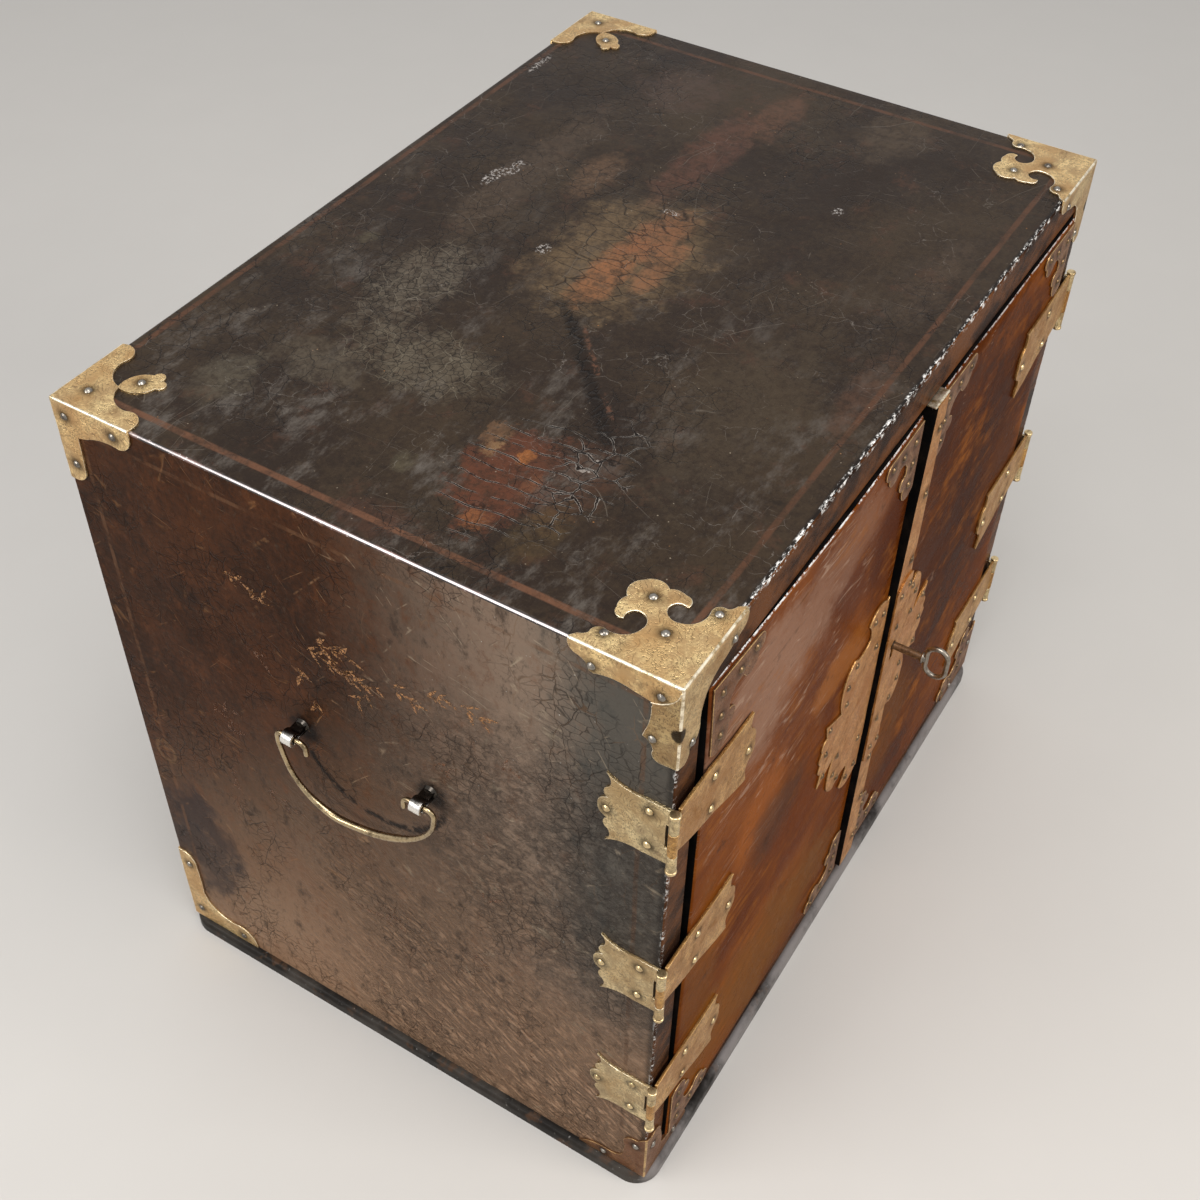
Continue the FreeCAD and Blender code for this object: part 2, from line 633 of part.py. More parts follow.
def handle_bail():
    """A bar through both eyes: short hooked ends inside, a wide drop outside."""
    inner = eye_spacing / 2 - eye_width / 2 - 1.6
    outer = eye_spacing / 2 + eye_width / 2 + 1.2
    tip, widest = inner - bail_bend, outer + bail_bend
    middle = bail_bend * (1 - math.sqrt(0.5))

    def at(y, drop):
        return Vector(left - eye_stand_off, handle_y + y, handle_z - drop)

    edges = []
    for side in (1, -1):
        hook_end, hook_top = at(side * tip, bail_hook), at(side * tip, bail_bend)
        level_in, level_out = at(side * inner, 0), at(side * outer, 0)
        fall = at(side * widest, bail_bend)
        edges.append(Part.LineSegment(hook_end, hook_top).toShape())
        edges.append(Part.Arc(hook_top, at(side * (tip + middle), middle), level_in).toShape())
        edges.append(Part.LineSegment(level_in, level_out).toShape())
        edges.append(Part.Arc(level_out, at(side * (widest - middle), middle), fall).toShape())
    hang = Part.BSplineCurve()
    hang.interpolate(Points=[at(widest, bail_bend)] + [at(*point) for point in bail_hang] + [at(-widest, bail_bend)],
                     InitialTangent=Vector(0, 0, -1), FinalTangent=Vector(0, 0, 1))
    edges.append(hang.toShape())
    path = Part.Wire(Part.__sortEdges__(edges))
    section = Part.Wire(Part.makeCircle(bail_radius, at(tip, bail_hook), Vector(0, 0, 1)))
    bail = path.makePipeShell([section], True, False, 2)
    save("left_handle_bail", bail)
    save("right_handle_bail", mirrored(bail))


# --- drawers ---------------------------------------------------------------------------

def drawer(row):
    """Front, box and knob of a drawer in the left column. Row 0 is the top one."""
    z0 = bottom_top + (2 - row) * (row_height + shelf_thickness) + drawer_play
    z1 = z0 + row_height - 2 * drawer_play
    x0 = -inner_half + guide_thickness + drawer_play
    x1 = -partition_thickness / 2 - drawer_play
    y_front = drawer_face + drawer_front_thickness
    y_back = back - back_thickness - drawer_back_gap
    face = block(x0, x1, drawer_face, y_front, z0, z1)
    face = face.makeChamfer(0.5, edges_where(face, lambda b: b.YMax < drawer_face + 0.01))

    bx0, bx1, bz1 = x0 + drawer_box_inset, x1 - drawer_box_inset, z1 - 6.0
    floor = block(bx0, bx1, y_front, y_back, z0, z0 + drawer_bottom)
    wall_z = z0 + drawer_bottom
    walls = [block(bx0, bx0 + drawer_wall, y_front, y_back, wall_z, bz1),
             block(bx1 - drawer_wall, bx1, y_front, y_back, wall_z, bz1),
             block(bx0 + drawer_wall, bx1 - drawer_wall, y_back - drawer_wall, y_back, wall_z, bz1)]

    centre = Vector((x0 + x1) / 2, drawer_face, (z0 + z1) / 2)
    out = Vector(0, -1, 0)
    rose = Part.makeCylinder(9.0, sheet, centre, out)
    stem = Part.makeCylinder(2.2, 7.0, centre + out * sheet, out)
    ball = Part.makeSphere(5.2, centre + out * (sheet + 6.6))
    ball = ball.common(block(centre.x - 9, centre.x + 9, drawer_face - 12.6, drawer_face - 2, z0, z1))
    knob = rose.multiFuse([stem, ball]).removeSplitter()
    return face, [floor] + walls, knob


def drawers():
    for row, name in enumerate(rows):
        face, walls, knob = drawer(row)
        for side, change in (("left", lambda shape: shape), ("right", mirrored)):
            stem = side + "_" + name + "_drawer"
            save(stem + "_front", change(face))
            save(stem + "_box", *[change(wall) for wall in walls])
            save(stem + "_knob", change(knob))


case_boards()
inner_boards()
corner_mounts()
mount_nails()
hinges()
door_panels()
lock_plates()
door_plates_and_nails()
lock()
key()
handle_eyes()
handle_bail()
drawers()
print("hinge axis", hinge_x, hinge_y, "door back", door_back, "drawer face", drawer_face)
print("nodes", len(os.listdir("parts")))
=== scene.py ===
import math
import random

import bmesh
import bpy
from mathutils import Matrix, Vector, noise


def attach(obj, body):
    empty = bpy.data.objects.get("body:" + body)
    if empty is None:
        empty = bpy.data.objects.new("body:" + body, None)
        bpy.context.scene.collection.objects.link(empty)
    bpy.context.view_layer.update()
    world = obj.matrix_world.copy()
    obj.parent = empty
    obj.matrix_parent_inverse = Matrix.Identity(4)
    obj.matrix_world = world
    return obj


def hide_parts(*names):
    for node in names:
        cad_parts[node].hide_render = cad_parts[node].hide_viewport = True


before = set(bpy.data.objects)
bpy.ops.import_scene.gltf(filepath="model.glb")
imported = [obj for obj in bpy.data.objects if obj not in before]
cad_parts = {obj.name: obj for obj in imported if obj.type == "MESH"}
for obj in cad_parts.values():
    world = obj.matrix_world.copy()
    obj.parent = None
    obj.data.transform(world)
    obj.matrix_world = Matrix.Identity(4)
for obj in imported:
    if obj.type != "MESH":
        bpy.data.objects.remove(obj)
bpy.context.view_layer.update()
mm = 0.001
print("frame loaded:", len(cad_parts), "nodes")


# ---- view, light and room

view = {
    "place": (-0.46094, -0.2646, 0.6766),
    "forward": (0.6061, 0.35874, -0.70989),
    "roll": 1.42,
    "lens": 47.81,
}

room = {
    "floorColour": (0.54, 0.52, 0.495),
    "wallColour": (0.76, 0.765, 0.775),
    "skyStrength": 0.5,
    "lamps": (  # name, place, aims at, width, height, watts, colour
        ("windowLamp", (-1.3, 0.7, 1), (-0.1, 0, 0.2), 1.1, 0.24, 13, (1, 0.98, 0.95)),
        ("frontLamp", (0.1, -1.5, 1), (0, -0.1, 0.15), 0.7, 0.7, 14, (1, 0.95, 0.88)),
        ("ceilingLamp", (-0.5, -0.3, 1.7), (0, 0, 0.2), 0.8, 0.8, 16, (1, 1, 1)),
    ),
}


def setCamera():
    data = bpy.data.cameras.new("camera")
    data.lens = view["lens"]
    data.sensor_width = 36
    data.sensor_fit = "HORIZONTAL"
    data.clip_start = 0.01
    camera = bpy.data.objects.new("camera", data)
    bpy.context.scene.collection.objects.link(camera)
    turn = Vector(view["forward"]).to_track_quat("-Z", "Y").to_matrix()
    turn = turn @ Matrix.Rotation(math.radians(view["roll"]), 3, "Z")
    camera.matrix_world = Matrix.Translation(view["place"]) @ turn.to_4x4()
    bpy.context.scene.camera = camera


def setLamps():
    for name, place, aim, wide, high, watts, colour in room["lamps"]:
        data = bpy.data.lights.new(name, "AREA")
        data.shape = "RECTANGLE"
        data.size, data.size_y = wide, high
        data.energy = watts
        data.color = colour
        lamp = bpy.data.objects.new(name, data)
        bpy.context.scene.collection.objects.link(lamp)
        turn = (Vector(aim) - Vector(place)).to_track_quat("-Z", "Y").to_matrix().to_4x4()
        lamp.matrix_world = Matrix.Translation(place) @ turn


# ---- shader maths

class Wire:  # a socket that can stand in a sum
    def __init__(self, finish, socket):
        self.finish = finish
        self.socket = socket

    def sum(self, operation, *values):
        return self.finish.node("Math", {"operation": operation}, values)

    def __add__(self, other):
        return self.sum("ADD", self, other)

    def __sub__(self, other):
        return self.sum("SUBTRACT", self, other)

    def __rsub__(self, other):
        return self.sum("SUBTRACT", other, self)

    def __mul__(self, other):
        return self.sum("MULTIPLY", self, other)

    def __truediv__(self, other):
        return self.sum("DIVIDE", self, other)

    def __pow__(self, other):
        return self.sum("POWER", self, other)

    def __abs__(self):
        return self.sum("ABSOLUTE", self)


def smooth(value, low, high):  # climbs from 0 at low to 1 at high
    return value.finish.node("MapRange", {"interpolation_type": "SMOOTHSTEP"}, (value, low, high))


def fade(value, low, high):  # falls from 1 at low to 0 at high
    return 1 - smooth(value, low, high)


def lines(distance, width):
    return fade(distance, 0, width)


def most(first, *others):
    for other in others:
        first = first.sum("MAXIMUM", first, other)
    return first


def mix(first, second, amount):
    return amount.finish.node("Mix", {"data_type": "RGBA"}, {0: amount, 6: first, 7: second}, 2)


def stained(colour, *stains):  # each stain: its colour, the field that lays it, from low to high, and how much
    for stain, field, low, high, much in stains:
        colour = mix(colour, stain, smooth(field, low, high) * much)
    return colour


class Finish:  # one material and its nodes; lengths in it are in millimetres
    def __init__(self, name):
        self.material = bpy.data.materials.new(name)
        self.material.use_nodes = True
        self.tree = self.material.node_tree
        self.tree.nodes.clear()
        self.place = self.node("TexCoord", output="Object")
        self.x, self.y, self.z = self.axes(self.place)

    def node(self, kind, settings=None, values=(), output=0):
        made = self.tree.nodes.new("ShaderNode" + kind)
        for key, setting in (settings or {}).items():
            setattr(made, key, setting)
        for key, value in values.items() if isinstance(values, dict) else enumerate(values):
            socket = made.inputs[key]
            if isinstance(value, Wire):
                self.tree.links.new(value.socket, socket)
            elif socket.type == "RGBA":
                socket.default_value = (*value, 1)
            else:
                socket.default_value = value
        return Wire(self, made.outputs[output])

    def axes(self, vector):
        parts = [self.node("SeparateXYZ", values=(vector,), output=index) for index in range(3)]
        return [part * 1000 for part in parts]

    def moved(self, size, stretch=(1, 1, 1), shift=0, place=None):
        scale = tuple(1000 / size / part for part in stretch)
        return self.node("Mapping", {},
                         {"Vector": place or self.place, "Location": (shift, shift * 0.7, -shift),
                          "Scale": scale})

    def cloud(self, size, detail=4, roughness=0.6, stretch=(1, 1, 1), shift=0, place=None, distortion=0):
        return self.node("TexNoise", {},
                         {"Vector": self.moved(size, stretch, shift, place), "Scale": 1, "Detail": detail,
                          "Roughness": roughness, "Distortion": distortion})

    def patch(self, low, high, *cloud, **more):  # where a cloud climbs from low to high
        return smooth(self.cloud(*cloud, **more), low, high)

    def bent(self, size, amount, shift=0):  # the place pushed about by a cloud, by so many millimetres
        push = self.node("TexNoise", {}, {"Vector": self.moved(size, shift=shift), "Scale": 1, "Detail": 3},
                         "Color")
        push = self.node("VectorMath", {"operation": "SUBTRACT"}, (push, (0.5, 0.5, 0.5)))
        push = self.node("VectorMath", {"operation": "SCALE"}, {0: push, 3: amount * 2 * mm})
        return self.node("VectorMath", {"operation": "ADD"}, (self.place, push))

    def cells(self, size, stretch=(1, 1, 1), shift=0, place=None, feature="DISTANCE_TO_EDGE"):
        cell = self.node("TexVoronoi", {"feature": feature},
                         {"Vector": self.moved(size, stretch, shift, place), "Scale": 1})
        return cell * size

    def turned(self, axis, angle):
        return self.node("VectorRotate", {"rotation_type": axis + "_AXIS"},
                         {"Vector": self.place, "Angle": math.radians(angle)})

    def scored(self, size, stretch, angle, width, shift):  # long fine lines, level when the angle is 0
        axis = "X" if stretch[1] > stretch[0] else "Y"
        band = self.cloud(size, 1, 0.5, stretch, shift, self.turned(axis, angle))
        return fade(abs(band - 0.5), 0, width)

    def bump(self, height, depth):  # depth in millimetres for a height of 1
        return self.node("Bump", {}, {"Height": height, "Distance": depth * mm})

    def shader(self, **sockets):
        names = {key: key.replace("_", " ") for key in sockets}
        surface = self.node("BsdfPrincipled", values={names[key]: value for key, value in sockets.items()})
        end = self.tree.nodes.new("ShaderNodeOutputMaterial")
        self.tree.links.new(surface.socket, end.inputs["Surface"])
        return self.material


def setRoom():
    scene = bpy.context.scene
    scene.view_settings.view_transform = "Standard"
    world = bpy.data.worlds.new("room")
    scene.world = world
    world.use_nodes = True
    nodes, links = world.node_tree.nodes, world.node_tree.links
    nodes.clear()
    path = nodes.new("ShaderNodeLightPath")
    rays = path.outputs["Is Camera Ray"]
    for kind in ("Is Glossy Ray", "Is Transmission Ray"):
        both = nodes.new("ShaderNodeMath")
        both.operation = "MAXIMUM"
        links.new(rays, both.inputs[0])
        links.new(path.outputs[kind], both.inputs[1])
        rays = both.outputs[0]
    seen = nodes.new("ShaderNodeBackground")
    seen.inputs["Color"].default_value = (*room["wallColour"], 1)
    lit = nodes.new("ShaderNodeBackground")
    lit.inputs["Color"].default_value = (1, 1, 1, 1)
    lit.inputs["Strength"].default_value = room["skyStrength"]
    blend = nodes.new("ShaderNodeMixShader")
    links.new(rays, blend.inputs[0])
    links.new(lit.outputs[0], blend.inputs[1])
    links.new(seen.outputs[0], blend.inputs[2])
    links.new(blend.outputs[0], nodes.new("ShaderNodeOutputWorld").inputs["Surface"])

    made = bmesh.new()
    bmesh.ops.create_grid(made, x_segments=1, y_segments=1, size=3)
    mesh = bpy.data.meshes.new("floor")
    made.to_mesh(mesh)
    floor = bpy.data.objects.new("floor", mesh)
    bpy.context.scene.collection.objects.link(floor)
    paint = Finish("floorPaint")
    grain = paint.cloud(60, 3)
    colour = mix(room["floorColour"], tuple(part * 0.96 for part in room["floorColour"]), grain)
    floor.data.materials.append(paint.shader(Base_Color=colour, Roughness=0.6))


# ---- finishes

lacquer = {
    "topDark": (0.02, 0.0128, 0.009),
    "topOlive": (0.037, 0.0245, 0.0148),
    "sideDark": (0.021, 0.0082, 0.0036),
    "sideWarm": (0.058, 0.02, 0.0075),
    # the next two are painted sheen: lighter colours for where the side catches more light
    "sideFrontSheen": (0.29, 0.215, 0.16),
    "sideLow": (0.4, 0.25, 0.156),
    "borderLine": (0.078, 0.036, 0.02),
    "crackPale": (0.15, 0.128, 0.094),
    "chipPale": (0.82, 0.8, 0.77),
}

# worn places on the top: middle x, y, half sizes, colour, how soft, how strong (lengths in millimetres)
topPatches = (
    (-53, 62, 32, 17, (0.094, 0.076, 0.056), 0.9, 0.8),
    (-92, 30, 18, 32, (0.092, 0.074, 0.052), 0.9, 0.8),
    (-112, 62, 12, 20, (0.085, 0.068, 0.048), 0.9, 0.6),
    (6, 6, 48, 32, (0.112, 0.074, 0.04), 0.9, 0.9),
    (-8, 4, 26, 9, (0.225, 0.088, 0.036), 0.9, 0.75),
    (24, 0, 22, 12, (0.185, 0.074, 0.034), 0.9, 0.7),
    (6, -11, 22, 6, (0.19, 0.082, 0.038), 0.9, 0.7),
    (-130, -32, 27, 20, (0.084, 0.03, 0.016), 0.5, 0.95),
    (-122, -50, 24, 14, (0.052, 0.025, 0.015), 0.8, 0.8),
    (-146, -54, 18, 9, (0.06, 0.038, 0.018), 0.8, 0.7),
    (-170, -8, 9, 14, (0.06, 0.028, 0.018), 0.9, 0.6),
    (54, 46, 20, 9, (0.1, 0.058, 0.034), 0.9, 0.75),
    (92, 14, 48, 12, (0.086, 0.038, 0.025), 0.9, 0.65),
    (138, 4, 25, 10, (0.095, 0.046, 0.028), 0.9, 0.65),
    (136, 52, 22, 22, (0.06, 0.036, 0.027), 0.9, 0.6),
    (40, 72, 66, 12, (0.066, 0.045, 0.031), 0.9, 0.6),
    (-38, 97, 5, 4, (0.088, 0.074, 0.046), 0.9, 0.6),
    (-141, 3, 6, 5, (0.092, 0.078, 0.048), 0.9, 0.45),
    (-138, 84, 18, 12, (0.082, 0.068, 0.048), 0.9, 0.65),
    (150, -46, 24, 16, (0.066, 0.046, 0.03), 0.9, 0.6),
    (-22, -112, 30, 7, (0.078, 0.04, 0.025), 0.9, 0.55),
    (58, -106, 34, 8, (0.06, 0.04, 0.027), 0.9, 0.5),
    (-60, -80, 60, 24, (0.05, 0.036, 0.023), 0.9, 0.6),
)

# small bright spots by the torn corner of the top, laid out in the same way
topSpecks = (
    (-111, -15, 7, 5, (0.17, 0.09, 0.046), 0.9, 0.7),
    (-119, -18, 4, 4, (0.2, 0.12, 0.058), 0.9, 0.7),
    (-117, -30, 4, 3, (0.3, 0.11, 0.032), 0.9, 0.8),
    (-152, -34, 5, 5, (0.19, 0.07, 0.026), 0.9, 0.8),
    (-128, -40, 6, 3, (0.15, 0.06, 0.028), 0.9, 0.6),
)


def ellipse(across, up, x, y, wide, high):
    return ((across - x) / wide) ** 2 + ((up - y) / high) ** 2


def blotched(colour, across, up, patches, ragged, broken):
    for x, y, wide, high, patch, soft, strength in patches:
        far = ellipse(across, up, x, y, wide, high) + ragged
        cover = fade(far, 1 - soft, 1 + soft * 0.45) * strength
        colour = mix(colour, patch, cover * broken)
    return colour


def frameLine(across, up, box, width, wobble):
    # a painted line round a rectangle
    left, right, low, high = box
    beside = abs(across - (left + right) / 2) - (right - left) / 2
    outside = most(beside, abs(up - (low + high) / 2) - (high - low) / 2)
    return fade(abs(outside + wobble), width * 0.35, width * 0.75)


def topLacquer():
    paint = Finish("topLacquer")
    x, y = paint.x, paint.y
    bent = paint.bent(9, 1.6)
    ragged = (paint.cloud(13, 6, 0.72) - 0.5) * 3.8
    broad, fine = paint.cloud(60, 4, 0.6, shift=3), paint.cloud(2.6, 5, 0.7, shift=8)
    broken = smooth(fine * 0.5 + paint.cloud(7, 5, 0.7, shift=23) * 0.5, 0.38, 0.58)
    colour = mix(lacquer["topDark"], lacquer["topOlive"], smooth(broad + (fine - 0.5) * 0.7, 0.32, 0.72))
    haze = paint.patch(0.5, 0.72, 20, 6, 0.75, (1.6, 0.8, 1), 15)
    colour = mix(colour, (0.092, 0.078, 0.066), haze * smooth(x, 110, -150))
    colour = stained(colour, ((0.062, 0.03, 0.018), paint.cloud(16, 6, 0.75, shift=37), 0.54, 0.72, 0.6),
                     ((0.01, 0.0075, 0.006), paint.cloud(9, 6, 0.78, shift=57), 0.54, 0.7, 0.5))
    colour = blotched(colour, x, y, topPatches, ragged, broken * 0.7 + 0.3)
    colour = blotched(colour, x, y, topSpecks, (fine - 0.5) * 7, broken * 0.6 + 0.4)

    wobble = (paint.cloud(40, 2, shift=5) - 0.5) * 1.4
    worn = paint.patch(0.38, 0.58, 15, 6, 0.75, shift=11)
    border = frameLine(x, y, (-170, 169, -117.5, 123), 2.1, wobble)
    border = most(border, fade(abs(x + 170.2 + wobble), 0.9, 1.7) * smooth(abs(y), 122, 118))
    colour = mix(colour, mix(lacquer["borderLine"], (0.118, 0.054, 0.03), smooth(x, -120, -170)),
                 border * (worn * 0.6 + 0.28))

    # where the lacquer is crazed, torn or dark
    pale = most(*[fade(ellipse(x, y, *place) + ragged * 0.7, 0.5, 1.1)
                  for place in ((-53, 62, 38, 22), (-92, 32, 22, 38))])
    warm = fade(ellipse(x, y, 20, 4, 70, 30) + ragged * 0.5, 0.5, 1.2)
    torn = fade(ellipse(x, y, -127, -34, 34, 25) + ragged * 0.35, 0.65, 1.1)
    below = fade(ellipse(x, y, -114, -54, 34, 14) + ragged * 0.5, 0.55, 1.15)
    slant = fade(abs(x * 0.674 - y * 0.738 + 27.6) + ragged * 1.1, 1, 4.2)
    slant = slant * smooth(x, -28, -40) * smooth(x, -104, -90)
    where = paint.patch(0.44, 0.58, 44, 4, 0.6, shift=21)

    crazed = lines(paint.cells(3.2, place=bent), 0.22)
    coarse = lines(paint.cells(9.5, place=paint.bent(6, 2, 4), shift=2), 0.22)
    upright = lines(paint.cells(6, (1, 2.6, 1), place=paint.bent(9, 1.2, 14), shift=12), 0.26)
    bentX, bentY = paint.axes(paint.bent(19, 3.4, 9))[:2]
    split = paint.node("Math", {"operation": "PINGPONG"}, (bentX + bentY * 0.09 + 500, 3.5))
    held = paint.patch(0.38, 0.46, 13, 3, 0.6, shift=61)
    tear = lines(split, 0.36) * torn * held
    flakes = paint.cells(8.5, (1, 1.3, 1), place=paint.bent(8, 2.4, 19), shift=27)
    loose = lines(flakes, 0.26) * below
    ladder = lines(paint.cells(4.6, (1.5, 0.8, 1), place=paint.bent(6, 1.6, 5), shift=4), 0.7) * slant

    black = (0.0045, 0.003, 0.0025)
    colour = mix(colour, black, crazed * most(where * 0.35, pale * 0.75))
    colour = mix(colour, black, coarse * most(where, below) * 0.75)
    colour = mix(colour, black, upright * warm * 0.7)
    colour = mix(colour, lacquer["crackPale"],
                 lines(paint.cells(11, place=paint.bent(7, 2, 6), shift=41), 0.2) * pale * 0.5)
    colour = mix(colour, black, most(slant * 0.55, most(ladder, most(tear, loose))) * 0.95)
    # the pale lines along the edges of the torn and flaking cracks are painted glints; the pale hairlines are fine
    # cracks with painted glints on them
    thin = smooth(fine, 0.42, 0.52)
    rim = lines(abs(split - 0.3), 0.15) * torn * held * thin
    rimLoose = lines(abs(flakes - 0.26), 0.13) * below * thin
    hair = lines(paint.cells(10, (1, 1.5, 1), place=paint.bent(7, 2.6, 71), shift=47), 0.12)
    hair = hair * thin * paint.patch(0.5, 0.6, 32, 4, 0.6, shift=74)
    colour = mix(colour, (0.3, 0.27, 0.24), most(most(rim, rimLoose) * 0.75, hair * 0.25))
    edge = fade(abs(x * 0.674 - y * 0.738 + 23.6 + wobble * 1.5) + ragged * 1.2, 0.2, 1.6)
    edge = edge * smooth(x, -30, -50) * smooth(x, -92, -80) * smooth(fine, 0.46, 0.56)
    edge = edge * paint.patch(0.42, 0.56, 6, 3, shift=66)
    colour = mix(colour, (0.11, 0.05, 0.03), edge * 0.7)

    # scratches, specks and chips of white
    scratch = lines(paint.cells(46, (3.2, 0.45, 0.6), place=paint.bent(60, 5, 13), shift=5), 0.13)
    across = lines(paint.cells(40, (0.5, 3, 0.6), place=paint.bent(60, 4, 33), shift=15), 0.12)
    scratch = most(scratch, across) * paint.patch(0.5, 0.58, 26, 3, shift=31)
    colour = mix(colour, (0.13, 0.108, 0.085), scratch * 0.5)
    grain = paint.cloud(0.9, 4, 0.8, shift=81)
    colour = stained(colour, ((0.135, 0.105, 0.07), grain, 0.6, 0.74, 0.35),
                     ((0.009, 0.007, 0.006), grain, 0.44, 0.3, 0.45))
    speck = smooth(paint.cells(3.4, feature="F1", shift=17), 0.4, 0.14)
    speck = speck * paint.patch(0.54, 0.64, 20, 4, shift=44)
    tint = mix((0.26, 0.215, 0.16), (0.34, 0.15, 0.05), paint.patch(0.5, 0.6, 12, 3, shift=94))
    colour = mix(colour, tint, speck * 0.7)
    flake = paint.patch(0.5, 0.6, 1.4, 4, 0.7, shift=51)
    chips = ((-7, 34, 4, 3), (44, 5, 1.8, 4), (82, -52, 3, 2.5), (28, 82, 8, 3), (38, 78, 7, 3), (122, 120, 9, 2))
    white = most(*[fade(ellipse(x, y, *place), 0.6, 1.3) for place in chips])
    colour = mix(colour, (0.34, 0.31, 0.29), white * flake * 0.9)

    # chipped and rubbed edges
    grit = paint.patch(0.5, 0.6, 1.3, 4, 0.75, (2.6, 1, 1), 3)
    front = smooth(y, -124.8, -126.6)
    colour = mix(colour, (0.006, 0.005, 0.005), front * 0.8)
    chip = grit * smooth(y + ragged * 0.22, -125.6, -126.6) * paint.patch(0.42, 0.5, 9, 5, 0.7, shift=2)
    colour = mix(colour, lacquer["chipPale"], chip)
    rubbed = smooth(abs(x) + ragged * 0.25, 178.2, 179.4)
    rubbed = rubbed * paint.patch(0.48, 0.6, 16, 6, 0.75, shift=6)
    colour = mix(colour, (0.15, 0.13, 0.12), rubbed * 0.5)

    height = paint.cloud(26, 3, 0.5, shift=1) * 0.5 + fine * 0.07 + broad * 0.2
    height = height - crazed * most(where * 0.5, pale) * 0.08 - upright * warm * 0.1
    height = height - coarse * most(where, below) * 0.12 - most(tear, loose) * 0.35 - ladder * 0.3
    height = height + most(rim, rimLoose) * 0.08 - scratch * 0.03 - chip * 0.15 + grain * 0.02
    rough = paint.patch(0.3, 0.75, 30, 5, 0.68, shift=15) * 0.18 + 0.28
    rough = rough + pale * 0.1 + torn * 0.04 - smooth(abs(x), 175.5, 178.5) * 0.1
    return paint.shader(Base_Color=colour, Roughness=rough, Normal=paint.bump(height, 1), IOR=1.19)


